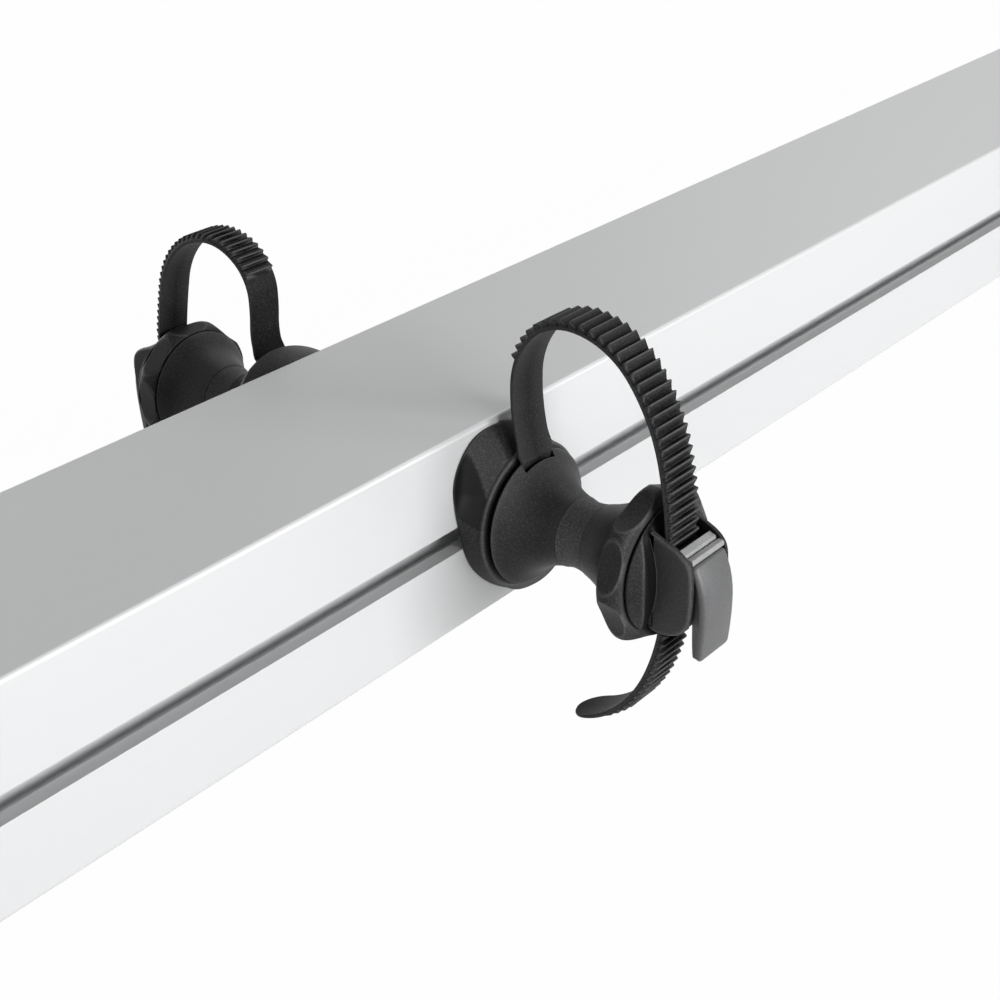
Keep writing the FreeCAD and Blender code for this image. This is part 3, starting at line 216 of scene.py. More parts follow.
def worn_and_highlit_edges(group, start, normal):
    """Mask of the edges that are painted paler, partly as wear and partly as a painted highlight, by how
    far their shaded normal is bent away from the true one.
    """
    geometry = group.nodes.new("ShaderNodeNewGeometry")
    match = group.nodes.new("ShaderNodeVectorMath")
    match.operation = "DOT_PRODUCT"
    group.links.new(normal, match.inputs[0])
    group.links.new(geometry.outputs["Normal"], match.inputs[1])
    bent = calculated(group, "SUBTRACT", 1.0, match.outputs["Value"])
    strong = calculated(group, "MULTIPLY", bent, EDGE_GAIN)
    return calculated(group, "MULTIPLY", strong, start.outputs["Edge light"], clamped=True)


def grain_and_painted_light_group():
    """Fine spark-eroded grain of moulded plastic, with paler edges that are partly wear and partly painted
    highlight, and painted shade in hollows.
    """
    group, start, end = effect_group("mould grain and painted light", {
        "Colour": PLASTIC_BLACK, "Roughness": 0.5, "Grain size": 1500.0, "Grain depth": 0.5,
        "Grain light": 0.3, "Edge light": 0.5, "Edge width": EDGE_WIDTH,
    })
    fine = noise(group, start.outputs["Grain size"], GRAIN_DETAIL)
    broad = noise(group, CLOUD_SCALE, GRAIN_DETAIL)
    normal = soft_edges(group, start)
    attribute = group.nodes.new("ShaderNodeAttribute")
    attribute.attribute_name = TONE
    tone = attribute.outputs["Fac"]
    # Positive tones are painted paler: partly wear, partly painted highlight
    rubbed_and_highlit = mapped(group, tone, 0.0, 1.0)
    # Negative tones are painted shade, which darkens the colour
    hollow = mapped(group, calculated(group, "MULTIPLY", tone, -1.0), 1.0, PAINTED_SHADE_LEVEL)
    tinted = mixed(group, "MULTIPLY", 1.0, start.outputs["Colour"], mapped(group, fine, *GRAIN_TONES))
    clouded = mixed(group, "MULTIPLY", 1.0, tinted, mapped(group, broad, *CLOUD_TONES))
    above = calculated(group, "SUBTRACT", fine, GLINT_LEVEL)
    glint = calculated(group, "MULTIPLY", above, GLINT_GAIN, clamped=True)
    glitter = calculated(group, "MULTIPLY", glint, start.outputs["Grain light"])
    dusted = mixed(group, "ADD", glitter, clouded, GRAIN_PALE)
    shaded = mixed(group, "MULTIPLY", 1.0, dusted, hollow)
    # Paler edges join the positive tones: partly wear, partly painted highlight
    wear_and_highlight = calculated(group, "MAXIMUM", worn_and_highlit_edges(group, start, normal), rubbed_and_highlit)
    group.links.new(mixed(group, "ADD", wear_and_highlight, shaded, WEAR_AND_HIGHLIGHT_PALE), end.inputs["Colour"])
    spread = mapped(group, broad, *CLOUD_ROUGHNESS)
    group.links.new(calculated(group, "ADD", start.outputs["Roughness"], spread), end.inputs["Roughness"])
    grained = embossed(group, normal, fine, start.outputs["Grain depth"], GRAIN_HEIGHT)
    group.links.new(grained, end.inputs["Normal"])
    return group


def drawn_metal_group():
    """Fine lines that an extrusion die leaves along X, under a matt anodised skin."""
    group, start, end = effect_group("drawn metal", {
        "Colour": ALUMINIUM, "Roughness": 0.4, "Line depth": 0.1, "Edge width": EDGE_WIDTH,
    })
    lines = noise(group, LINE_SCALE, METAL_DETAIL, LINE_STRETCH)
    sheen = noise(group, SHEEN_SCALE, METAL_DETAIL, SHEEN_STRETCH)
    lined = mixed(group, "MULTIPLY", 1.0, start.outputs["Colour"], mapped(group, lines, *LINE_TONES))
    clouded = mixed(group, "MULTIPLY", 1.0, lined, mapped(group, sheen, *SHEEN_TONES))
    group.links.new(clouded, end.inputs["Colour"])
    spread = mapped(group, lines, *LINE_ROUGHNESS)
    group.links.new(calculated(group, "ADD", start.outputs["Roughness"], spread), end.inputs["Roughness"])
    scored = embossed(group, soft_edges(group, start), lines, start.outputs["Line depth"], LINE_HEIGHT)
    group.links.new(scored, end.inputs["Normal"])
    return group


GRAIN_AND_PAINTED_LIGHT = grain_and_painted_light_group()
DRAWN_METAL = drawn_metal_group()


def finish_with(name, group, values, shader):
    """Material whose shader takes colour, roughness and normal from one effect group."""
    material = bpy.data.materials.new(name)
    material.use_nodes = True
    tree = material.node_tree
    principled = tree.nodes["Principled BSDF"]
    effect = tree.nodes.new("ShaderNodeGroup")
    effect.node_tree = group
    for label, value in values.items():
        effect.inputs[label].default_value = value
    tree.links.new(effect.outputs["Colour"], principled.inputs["Base Color"])
    tree.links.new(effect.outputs["Roughness"], principled.inputs["Roughness"])
    tree.links.new(effect.outputs["Normal"], principled.inputs["Normal"])
    for label, value in shader.items():
        principled.inputs[label].default_value = value
    return material


def moulded(name, colour, roughness, grain, depth, light, edge, gloss):
    """Plastic with a grain in waves per metre, its depth and glitter, how pale its edges are painted,
    partly as wear and partly as a painted highlight, and a gloss.
    """
    return finish_with(name, GRAIN_AND_PAINTED_LIGHT, {
        "Colour": colour, "Roughness": roughness, "Grain size": grain, "Grain depth": depth,
        "Grain light": light, "Edge light": edge,
    }, {"Specular IOR Level": gloss})


def drawn(name, colour, roughness, depth, metallic):
    """Metal with drawn lines of a depth."""
    return finish_with(name, DRAWN_METAL, {
        "Colour": colour, "Roughness": roughness, "Line depth": depth,
    }, {"Metallic": metallic})


BLACK_MOULDING = moulded("black moulding", PLASTIC_BLACK, 0.52, 1300.0, 0.5, 0.35, 0.3, 0.18)
SLEEVE_RUBBER = moulded("saddle ring", SLEEVE_BLACK, 0.6, 1100.0, 0.6, 0.6, 0.2, 0.2)
STRAP_PLASTIC = moulded("toothed strap", STRAP_BLACK, 0.5, 1500.0, 0.4, 0.3, 0.3, 0.08)
LEVER_PLASTIC = moulded("buckle lever", LEVER_GREY, 0.42, 2600.0, 0.08, 0.0, 0.1, 0.4)
RELEASE_PLASTIC = moulded("release bar", RELEASE_GREY, 0.45, 2600.0, 0.1, 0.0, 0.1, 0.4)
GLIDE_PLASTIC = moulded("glide", GLIDE_WHITE, 0.45, 900.0, 0.1, 0.0, 0.0, 0.4)
POWDER_COAT = moulded("powder coat", PLASTIC_BLACK, 0.4, 900.0, 0.35, 0.1, 0.2, 0.5)
ANODISED = drawn("anodised beam", ALUMINIUM, 0.5, 0.06, 0.25)
ANODISED_RAIL = drawn("anodised rail", RAIL_ALUMINIUM, 0.4, 0.12, 0.35)
ZINC_PLATE = drawn("zinc plate", ZINC, 0.38, 0.05, 0.6)
BLACKENED_STEEL = drawn("blackened pin", BLACKENED, 0.45, 0.05, 0.6)

FINISH_OF_SLOT = {
    "beam_aluminium": ANODISED,
    "rail_aluminium": ANODISED_RAIL,
    "zinc_steel": ZINC_PLATE,
    "bolt_steel": ZINC_PLATE,
    "black_plastic": BLACK_MOULDING,
    "glide_plastic": GLIDE_PLASTIC,
    "strap_plastic": STRAP_PLASTIC,
    "lever_plastic": LEVER_PLASTIC,
    "black_paint": POWDER_COAT,
    "sleeve_rubber": SLEEVE_RUBBER,
}
SLOT_OF_NODE = {entry["node"]: entry["material_slot"] for entry in frame["record"]["subparts"]}
DARK_PINS = ("lever_pin", "hold_pawl_pin", "drive_pawl_pin", "strap_pin")
NODE_SMOOTH_ANGLE = 28.0
for node, piece in NODES.items():
    finish = FINISH_OF_SLOT[SLOT_OF_NODE[node]]
    if node.endswith("_hold_pawl"):
        finish = RELEASE_PLASTIC
    elif node.endswith(DARK_PINS):
        finish = BLACKENED_STEEL
    piece.data.materials.clear()
    piece.data.materials.append(finish)
    piece.data.set_sharp_from_angle(angle=math.radians(NODE_SMOOTH_ANGLE))


# Mesh pieces

SMOOTH_ANGLE = 32.0


def shell_of(name, points, faces, tones):
    """Closed mesh object with outward normals and the tones of its points."""
    mesh = bpy.data.meshes.new(name)
    mesh.from_pydata(points, [], faces)
    tone = mesh.attributes.new(TONE, "FLOAT", "POINT")
    tone.data.foreach_set("value", tones)
    shell = bmesh.new()
    shell.from_mesh(mesh)
    bmesh.ops.recalc_face_normals(shell, faces=shell.faces)
    shell.to_mesh(mesh)
    shell.free()
    piece = bpy.data.objects.new(name, mesh)
    bpy.context.scene.collection.objects.link(piece)
    return piece


def carve(piece, cutter):
    """Cut one closed piece out of another."""
    cut = piece.modifiers.new("cut", "BOOLEAN")
    cut.operation = "DIFFERENCE"
    cut.solver = "EXACT"
    cut.object = cutter
    carved = bpy.data.meshes.new_from_object(piece.evaluated_get(bpy.context.evaluated_depsgraph_get()))
    piece.modifiers.clear()
    piece.data = carved
    bpy.data.objects.remove(cutter)


def mount(piece, body, slot, *nodes):
    """Finish a piece and let it ride on a body in place of its nodes."""
    mesh = piece.data
    for polygon in mesh.polygons:
        polygon.use_smooth = True
    mesh.set_sharp_from_angle(angle=math.radians(SMOOTH_ANGLE))
    mesh.materials.clear()
    mesh.materials.append(FINISH_OF_SLOT[slot])
    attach(piece, body)
    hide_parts(*nodes)


def ring_faces(rings, count, first=0, looped=False):
    """Quads between closed rings of points, and a face over each end unless it is looped."""
    faces = []
    for k in range(rings if looped else rings - 1):
        low = first + k * count
        high = first + (k + 1) % rings * count
        for i in range(count):
            j = (i + 1) % count
            faces.append((low + i, low + j, high + j, high + i))
    if not looped:
        last = first + (rings - 1) * count
        faces.append(tuple(range(first + count - 1, first - 1, -1)))
        faces.append(tuple(range(last, last + count)))
    return faces


def smooth_step(value, start, end):
    """0 at the start, 1 at the end and a soft curve between them."""
    share = min(max((value - start) / (end - start), 0.0), 1.0)
    return share * share * (3.0 - 2.0 * share)


class Holder:
    """Places on one wheel holder, in millimetres: x across, u out from its clamped face, z up."""

    def __init__(self, name, side):
        low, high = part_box(name + "_foot")
        self.name = name
        self.body = name + "_holder"
        self.side = side
        self.x = (low.x + high.x) / 2.0
        self.z = (low.z + high.z) / 2.0
        self.face = low.y if side > 0 else high.y

    def at(self, x, u, z):
        """The same place in the frame, in metres."""
        side = self.side
        return Vector((self.x - side * x / 1000.0, self.face + side * u / 1000.0, self.z + z / 1000.0))


HOLDERS = (Holder("near", -1), Holder("far", 1))


def angles(count):
    """Even angles round a full turn."""
    return [2.0 * math.pi * k / count for k in range(count)]


def turned(name, holder, sections):
    """Closed piece round the holder's axis, from sections at even angles of (radius, out, tone)."""
    points = []
    tones = []
    for angle, section in zip(angles(len(sections)), sections):
        points += [holder.at(r * math.cos(angle), u, r * math.sin(angle)) for r, u, tone in section]
        tones += [tone for r, u, tone in section]
    return shell_of(name, points, ring_faces(len(sections), len(sections[0]), 0, True), tones)


# Strap: a half width each, and its inner line as a heading and arcs of (length, turn)
STRAP_HALF_WIDTHS = {"near": 11.0, "far": 9.6}
STRAP_START = (16.0, 32.4)
STRAP_STEP = 2.0
STRAP_PATHS = {
    "near": (108.3, (
        (38.5, -21.2), (27.6, -38.3), (26.3, -49.5), (36.3, -51.1), (37.0, -25.1), (46.7, -13.9),
        (34.3, -6.1), (34.1, -15.9), (34.3, -24.2), (29.9, -30.8),
    )),
    "far": (55.0, (
        (9.9, 26.5), (12.3, 16.6), (14.7, -9.0), (19.7, -50.4), (24.1, -46.2), (26.35, -35.8),
        (26.35, -30.7), (26.35, -4.3), (16.0, -1.0), (10.35, -10.0), (28.0, -3.0), (28.0, -12.0),
        (32.0, -36.0), (36.0, -44.0), (36.2, -40.0),
    )),
}

# Strap's root: how far and at what heading it goes down into its slot, its flare there, and its eye
# round the pin as (out, up, radius), with a section in shares of its half width and its radius
STRAP_ROOT_DEPTH = 8.0
STRAP_ROOT_HEADING = 72.0
STRAP_FLARE = 0.75
STRAP_FLARE_START = (0.6, 3.2)
STRAP_FLARE_END = (4.0, 10.0)
STRAP_EYE = (17.6, 19.5, 3.5)
STRAP_EYE_SECTION = ((-1.0, 1.0), (1.0, 1.0), (1.0, 0.5), (-1.0, 0.5))
STRAP_EYE_TURNS = 24

# Strap's tongue: smooth, thinner to its tip, and rounded off
TONGUE_LENGTH = 22.0
TONGUE_THINNING = 0.4
TONGUE_ROUND = 11.5
TONGUE_POWER = 2.2
TONGUE_TIP = 0.0004
TONGUE_STATIONS = 26
TONGUE_SPACING = 1.6
TONGUE_STOP = 0.05

# Teeth: where the first one is, their pitch and their height, and the shares of it that the last
# ones keep. All are drawn a little taller, but for those in the buckle, which lie past the first value
# of BUCKLE_TEETH out and within its second up or down, and get its third instead
STRAP_TEETH = {"near": (52.0, 4.9, 1.9), "far": (48.0, 3.93, 1.6)}
LAST_TEETH = (0.3, 0.55, 0.8)
TOOTH_EXTRA = 0.8
BUCKLE_TEETH = (85.0, 29.0, 0.2)

# One tooth along the strap, as share of its pitch, share of its height and tone: a painted highlight,
# partly wear, on its crest, and painted shade in the gaps between teeth
TOOTH_SIDE = (
    (0.0, 0.0, -1.0), (0.025, 0.6, -0.6), (0.05, 0.88, 0.4), (0.09, 1.0, 1.0), (0.15, 1.0, 0.9),
    (0.22, 0.92, 0.2), (0.55, 0.5, 0.0), (0.85, 0.12, -0.2), (0.95, 0.02, -0.7),
)

# One end of a tooth across the strap, as inset, share of its height, height of the band and tone,
# all narrowed where the strap's half width is less than full; the tones there where the strap is
# plain, and those of its underside. The tones are paler at edges and ends, partly wear and partly
# painted highlight
TOOTH_CROWN = (
    (0.0, 0.0, 1.3, 0.5), (0.2, 0.0, 1.75, 0.3), (0.45, 0.1, 2.0, 0.2), (0.65, 0.5, 2.1, 0.4),
    (0.9, 0.82, 2.2, 1.0), (1.25, 0.97, 2.3, 0.4), (1.8, 1.0, 2.3, 0.0),
)
TOOTH_CREST = 0.9
TOOTH_FULL_WIDTH = 4.0
PLAIN_TONES = [0.5, 0.3, 0.1, 0.0, 0.0, 0.0, 0.0]
UNDER_TONES = [0.5, 0.3, 0.0, 0.3, 0.5]
UNDER_EDGE = 0.5


def strap_frame(path, distance):
    """Point on the strap's inner line and its heading; behind its start it runs down into its slot."""
    u, z = STRAP_START
    if distance <= 0.0:
        down = math.radians(STRAP_ROOT_HEADING)
        return u + distance * math.cos(down), z + distance * math.sin(down), down
    heading = math.radians(path[0])
    left = distance
    for length, turn in path[1]:
        step = min(left, length)
        bend = math.radians(turn) * step / length
        chord = step * math.sin(bend / 2.0) / (bend / 2.0)
        u += chord * math.cos(heading + bend / 2.0)
        z += chord * math.sin(heading + bend / 2.0)
        heading += bend
        left -= step
        if left <= 0.0:
            break
    return u, z, heading


def tooth_height(path, distance, rise):
    """Height of a tooth as it is drawn outside or inside the buckle."""
    u, z, heading = strap_frame(path, distance)
    buckle_u, buckle_z, inside_extra = BUCKLE_TEETH
    if u > buckle_u and abs(z) < buckle_z:
        return rise + inside_extra
    return rise + TOOTH_EXTRA


def strap_stations(path, total, teeth):
    """Distances along the strap, with the height and the tone of the teeth at each."""
    first, pitch, rise = teeth
    stations = []
    for k in range(int((first + STRAP_ROOT_DEPTH) / STRAP_STEP)):
        # Painted shade where the strap runs down into its slot
        tone = -1.0 if STRAP_STEP * k < STRAP_ROOT_DEPTH else 0.0
        stations.append((STRAP_STEP * k - STRAP_ROOT_DEPTH, 0.0, tone))
    count = int((total - TONGUE_LENGTH - first) / pitch)
    for k in range(count):
        fade = LAST_TEETH[count - 1 - k] if count - k <= len(LAST_TEETH) else 1.0
        full = fade * tooth_height(path, first + k * pitch, rise)
        for share, height, tone in TOOTH_SIDE:
            stations.append((first + (k + share) * pitch, height * full, tone))
    end = first + count * pitch
    for k in range(TONGUE_STATIONS):
        share = 1.0 - (1.0 - k / (TONGUE_STATIONS - 1.0)) ** TONGUE_SPACING
        stations.append((end + (total - TONGUE_STOP - end) * share, 0.0, 0.0))
    return stations


def strap_width(half, distance, total):
    """Half width: a flare at the root, and a round end."""
    flare = smooth_step(distance, *STRAP_FLARE_START) * (1.0 - smooth_step(distance, *STRAP_FLARE_END))
    width = half + STRAP_FLARE * flare
    left = total - distance
    if left < TONGUE_ROUND:
        width *= math.sqrt(max(1.0 - (1.0 - left / TONGUE_ROUND) ** TONGUE_POWER, TONGUE_TIP))
    return width


def crown_tones(tone):
    """Tones from the strap's side to the crest of a tooth, or to a gap, of a tone."""
    tones = []
    for step, share, band, end_tone in TOOTH_CROWN:
        if share >= TOOTH_CREST:
            tones.append(tone if tone >= 0.0 else tone * tone)
        else:
            tones.append(end_tone if share == 0.0 or tone >= 0.0 else tone)
    return tones


def strap_ring(holder, path, station, total):
    """Points of one cross-section of the strap and their tones."""
    distance, rise, tone = station
    u, z, heading = strap_frame(path, distance)
    width = strap_width(STRAP_HALF_WIDTHS[holder.name], distance, total)
    thin = 1.0 - TONGUE_THINNING * smooth_step(distance, total - TONGUE_LENGTH, total)
    scale = min(1.0, width / TOOTH_FULL_WIDTH)
    half = [(width - scale * step, band * thin + share * rise) for step, share, band, end in TOOTH_CROWN]
    top = [(-x, h) for x, h in half] + [(0.0, half[-1][1])] + [(x, h) for x, h in reversed(half)]
    low = UNDER_EDGE * thin
    edge = UNDER_EDGE * scale
    under = [(width, low), (width - edge, 0.0), (0.0, 0.0), (edge - width, 0.0), (-width, low)]
    plain = rise == 0.0 and tone == 0.0
    raised = PLAIN_TONES if plain else crown_tones(tone)
    tones = raised + [tone] + raised[::-1] + UNDER_TONES
    rise_u = -math.sin(heading)
    rise_z = math.cos(heading)
    return [holder.at(x, u + h * rise_u, z + h * rise_z) for x, h in top + under], tones


def strap(holder):
    """Toothed strap from the eye in the inner flare to the round tongue."""
    path = STRAP_PATHS[holder.name]
    total = sum(length for length, turn in path[1])
    points = []
    tones = []
    stations = strap_stations(path, total, STRAP_TEETH[holder.name])
    for station in stations:
        ring, shades = strap_ring(holder, path, station, total)
        points += ring
        tones += shades
    faces = ring_faces(len(stations), len(ring))
    faces += ring_faces(STRAP_EYE_TURNS, len(STRAP_EYE_SECTION), len(points), True)
    eye_u, eye_z, radius = STRAP_EYE
    half = STRAP_HALF_WIDTHS[holder.name]
    for angle in angles(STRAP_EYE_TURNS):
        for x, share in STRAP_EYE_SECTION:
            out = radius * share
            points.append(holder.at(x * half, eye_u + out * math.cos(angle), eye_z + out * math.sin(angle)))
            # Painted shade on the eye round the pin
            tones.append(-1.0)
    piece = shell_of(holder.name + "_toothed_strap", points, faces, tones)
    mount(piece, holder.body, "strap_plastic", holder.name + "_strap")


# Lever: its face from the top edge to the tip, as (out, up) from the lever's pin and the depth of
# its side skirts there, and its rounded edge, as inset and depth
LEVER_PIN = (111.6, 7.0)
LEVER_HALF_WIDTH = 12.2
LEVER_SKIN = 2.2
LEVER_SKIN_SHARE = 0.6
LEVER_FACE = (
    (-0.2, 5.5, 3.0), (1.6, 5.5, 4.4), (2.7, 4.9, 5.4), (3.6, 3.0, 6.2), (5.0, -0.2, 7.6), (6.2, -3.4, 8.8),
    (7.2, -7.6, 9.8), (7.85, -12.0, 10.4), (8.0, -14.8, 10.6), (8.1, -16.6, 6.2), (8.1, -20.0, 6.2),
    (7.95, -25.0, 6.0), (7.6, -30.0, 5.6), (7.15, -35.0, 5.0), (6.7, -39.0, 4.3), (6.4, -41.4, 3.7),
    (6.0, -42.6, 3.0), (5.2, -43.3, 2.0),
)
LEVER_CORNER = ((0.0, 2.1), (0.16, 1.35), (0.6, 0.62), (1.3, 0.16), (2.2, 0.0))
LEVER_TOP_ROWS = 3

# Lever's tip, which gets narrower from one height to another
LEVER_TIP_SPAN = (-41.5, -43.4)
LEVER_TIP_NARROWING = 1.1

# Lever's shadow on its skirts: the depth where it starts, and down to what height it is dark
LEVER_SHADOW = 2.8
LEVER_SHADOW_SHARE = 0.9
LEVER_SHADOW_END = -24.0
LEVER_FREE_TONE = -0.2


def lever_ring(holder, k):
    """Cross-section of the lever with its tones: face, round edges, skirts and hollow between them."""
    out, up, depth = LEVER_FACE[k]
    before = LEVER_FACE[max(k - 1, 0)]
    after = LEVER_FACE[min(k + 1, len(LEVER_FACE) - 1)]
    along = Vector((after[0] - before[0], after[1] - before[1])).normalized()
    inward = Vector((along.y, -along.x))
    if k < LEVER_TOP_ROWS:
        inward = Vector((0.0, -1.0)).lerp(inward, k / LEVER_TOP_ROWS).normalized()
    wide = LEVER_HALF_WIDTH - LEVER_TIP_NARROWING * smooth_step(up, *LEVER_TIP_SPAN)
    skin = min(LEVER_SKIN, depth * LEVER_SKIN_SHARE)
    outer = [(wide - a, b) for a, b in LEVER_CORNER]
    side = [(wide, min(LEVER_SHADOW, depth * LEVER_SHADOW_SHARE)), (wide, depth)]
    section = [(-x, d) for x, d in side[::-1] + outer] + outer[::-1] + side
    section += [(wide - skin, depth), (wide - skin, skin), (skin - wide, skin), (skin - wide, depth)]
    # Painted shade on the skirts, lighter lower down, and in the hollow between them
    shade = -1.0 if up > LEVER_SHADOW_END else LEVER_FREE_TONE
    tones = [shade] * 2 + [0.0] * (2 * len(outer)) + [shade] * 2 + [-1.0] * 4
    pin_out, pin_up = LEVER_PIN
    u = pin_out + out
    z = pin_up + up
    return [holder.at(x, u + d * inward.x, z + d * inward.y) for x, d in section], tones


def lever(holder):
    """Pump lever with a satin face and two skirts round the pawls."""
    points = []
    tones = []
    for k in range(len(LEVER_FACE)):
        ring, shades = lever_ring(holder, k)
        points += ring
        tones += shades
    faces = ring_faces(len(LEVER_FACE), len(ring))
    piece = shell_of(holder.name + "_pump_lever", points, faces, tones)
    mount(piece, holder.name + "_lever", "lever_plastic", holder.name + "_buckle_lever")


# Spool: profiles as out from the clamped face, radius and tone, each closed by its bore
BORE = 5.2
SPOOL_TURNS = 144
# Their tones: painted shade where pieces meet and at their backs, paler rims that are partly wear and
# partly painted highlight, and painted light on the flares' slopes, most beside the saddle ring
INNER_FLARE = (
    (11.5, 30.4, -1.0), (14.0, 30.4, -1.0), (14.05, 33.2, 0.0), (14.35, 33.7, 0.5), (14.9, 33.8, 0.8),
    (15.3, 33.4, 0.3), (16.4, 31.6, 0.1), (18.0, 29.3, 0.1), (20.2, 26.8, 0.1), (22.8, 24.5, 0.1),
    (26.0, 22.3, 0.05), (29.5, 20.4, 0.0), (33.0, 18.9, 0.0), (36.4, 17.9, 0.1), (38.7, 17.4, 0.2),
    (39.0, 17.3, 0.3), (39.2, 16.8, -1.0),
)
SADDLE = (
    (39.2, 16.8, -1.0), (39.3, 17.3, 0.3), (39.6, 17.4, 0.2), (42.0, 16.7, 0.0), (44.5, 16.3, 0.0),
    (47.0, 16.4, 0.0), (49.5, 16.7, 0.0), (51.8, 17.2, 0.0), (53.2, 17.6, 0.0), (53.5, 17.5, 0.3),
    (53.6, 17.0, -1.0),
)
OUTER_FLARE = (
    (53.6, 17.0, -1.0), (53.7, 17.7, 0.6), (54.1, 18.0, 0.6), (58.0, 19.2, 0.55), (62.0, 20.8, 0.45),
    (65.5, 22.5, 0.3), (68.5, 24.5, 0.15), (71.0, 26.7, 0.0), (73.2, 28.8, 0.0), (75.2, 30.4, 0.0),
    (76.2, 31.1, 0.4), (76.4, 30.9, -0.5),
)

# Mouth of the strap's slot in the inner flare, as half width and out, and its floor and top
MOUTH_BACK = (11.6, 10.0)
MOUTH_FRONT = (10.7, 17.4)
MOUTH_FLOOR = 24.0
MOUTH_TOP = 45.0


def lathed(name, holder, profile):
    """Round ring from a profile of (out, radius, tone), closed by its bore."""
    section = [(r, u, tone) for u, r, tone in profile]
    section += [(BORE, profile[-1][0], -1.0), (BORE, profile[0][0], -1.0)]
    return turned(name, holder, [section] * SPOOL_TURNS)


def spool(holder):
    """Inner flare with the strap's slot, saddle ring and outer flare."""
    flare = lathed(holder.name + "_inner_flare", holder, INNER_FLARE)
    back, u0 = MOUTH_BACK
    front, u1 = MOUTH_FRONT
    corners = [(-back, u0), (back, u0), (front, u1), (-front, u1)]
    points = [holder.at(x, u, z) for z in (MOUTH_FLOOR, MOUTH_TOP) for x, u in corners]
    # The cutter carries a tone of -1, painted shade for the slot's walls
    mouth = shell_of("mouth", points, ring_faces(2, len(corners)), [-1.0] * len(points))
    carve(flare, mouth)
    mount(flare, holder.body, "black_plastic", holder.name + "_inner_cone")
    saddle = lathed(holder.name + "_saddle_ring", holder, SADDLE)
    mount(saddle, holder.body, "sleeve_rubber", holder.name + "_waist_sleeve")
    flare = lathed(holder.name + "_outer_flare", holder, OUTER_FLARE)
    mount(flare, holder.body, "black_plastic", holder.name + "_outer_cone")


# Near foot: radii of its outline by angle over half a turn, which the other half repeats
FOOT_OUTLINE = (
    (22.0, 37.4), (50.0, 37.6), (77.0, 41.4), (90.0, 46.2), (104.0, 50.6), (114.0, 53.6), (123.0, 55.0),
    (134.0, 54.0), (145.0, 51.1), (158.0, 45.2), (171.0, 40.6), (185.0, 38.4), (202.0, 37.4),
)
FOOT_REPEAT = 180.0
FOOT_TURNS = 240
FOOT_RINGS = 26
FOOT_EDGE_HEIGHT = 1.2
FOOT_BEVEL_WIDTH = 0.5
FOOT_BEVEL_HEIGHT = 0.4

# Near foot's round rim, whose rounding is given as radius, out and tone: paler on its rounded edge,
# partly wear and partly painted highlight, painted shade inside, and more painted shade beside the hollows
RIM_RADIUS = 35.9
RIM_MARGIN = 0.4
RIM_HEIGHT = 9.6
RIM_ROUNDING = (
    (36.2, 9.6, 0.0), (36.15, 10.3, 0.3), (35.8, 10.9, 0.8), (35.2, 11.3, 0.5), (34.4, 11.4, 0.0),
    (30.4, 11.4, -1.0),
)
RIM_HOLLOW_SHADE = 0.2

# Near foot's two hollows, each on one side of a slanting line of (across, up, lean)
HOLLOW_LINE = (-29.6, 22.0, 0.17)
HOLLOW_REACH = 10.5
HOLLOW_FLOOR = 0.9
HOLLOW_CURVE = 2.1


def outline_radius(angle):
    """Radius of the foot's outline, smooth between its listed angles."""
    start = FOOT_OUTLINE[0][0]
    angle = (math.degrees(angle) - start) % FOOT_REPEAT + start
    before = (FOOT_OUTLINE[-2][0] - FOOT_REPEAT, FOOT_OUTLINE[-2][1])
    after = (FOOT_OUTLINE[1][0] + FOOT_REPEAT, FOOT_OUTLINE[1][1])
    listed = (before,) + FOOT_OUTLINE + (after,)
    k = 1
    while listed[k + 1][0] < angle:
        k += 1
    (a0, r0), (a1, r1), (a2, r2), (a3, r3) = listed[k - 1:k + 3]
    slope_1 = (r2 - r0) / (a2 - a0) * (a2 - a1)
    slope_2 = (r3 - r1) / (a3 - a1) * (a2 - a1)
    share = (angle - a1) / (a2 - a1)
    square = share * share
    cube = square * share
    return ((2 * cube - 3 * square + 1) * r1 + (cube - 2 * square + share) * slope_1
            + (3 * square - 2 * cube) * r2 + (cube - square) * slope_2)


def foot_height(x, z, radius, edge):
    """Height of the near foot's face over the beam, and how much of it is hollow."""
    ramp = FOOT_EDGE_HEIGHT + (RIM_HEIGHT - FOOT_EDGE_HEIGHT) * (edge - radius) / (edge - RIM_RADIUS)
    line_x, line_z, lean = HOLLOW_LINE
    if x > 0.0:
        x, z = -x, -z
    beyond = min(radius - RIM_RADIUS, line_x + lean * (z - line_z) - x)
    if beyond <= 0.0:
        return ramp, 0.0
    share = min(beyond / HOLLOW_REACH, 1.0)
    hollow = HOLLOW_FLOOR + (RIM_HEIGHT - HOLLOW_FLOOR) * (1.0 - share) ** HOLLOW_CURVE
    if hollow < ramp:
        return hollow, 1.0
    return ramp, 0.0


def near_foot_section(angle):
    """Section of the near foot: its underside, its bevelled edge, its face, its rim and its bore."""
    edge = outline_radius(angle)
    section = [(BORE, 0.0, 0.0), (edge - FOOT_BEVEL_WIDTH, 0.0, 0.0), (edge, FOOT_BEVEL_HEIGHT, 0.0)]
    for j in range(FOOT_RINGS + 1):
        radius = edge + (RIM_RADIUS + RIM_MARGIN - edge) * (j / FOOT_RINGS)
        height, hollow = foot_height(radius * math.cos(angle), radius * math.sin(angle), radius, edge)
        # The hollows get painted shade, as dark as they are hollow
        section.append((radius, height, -hollow))
    # The rim beside a hollow gets more painted shade
    shade = RIM_HOLLOW_SHADE * hollow
    section += [(r, u, max(tone - shade, -1.0)) for r, u, tone in RIM_ROUNDING]
    section.append((BORE, RIM_ROUNDING[-1][1], -1.0))
    return section


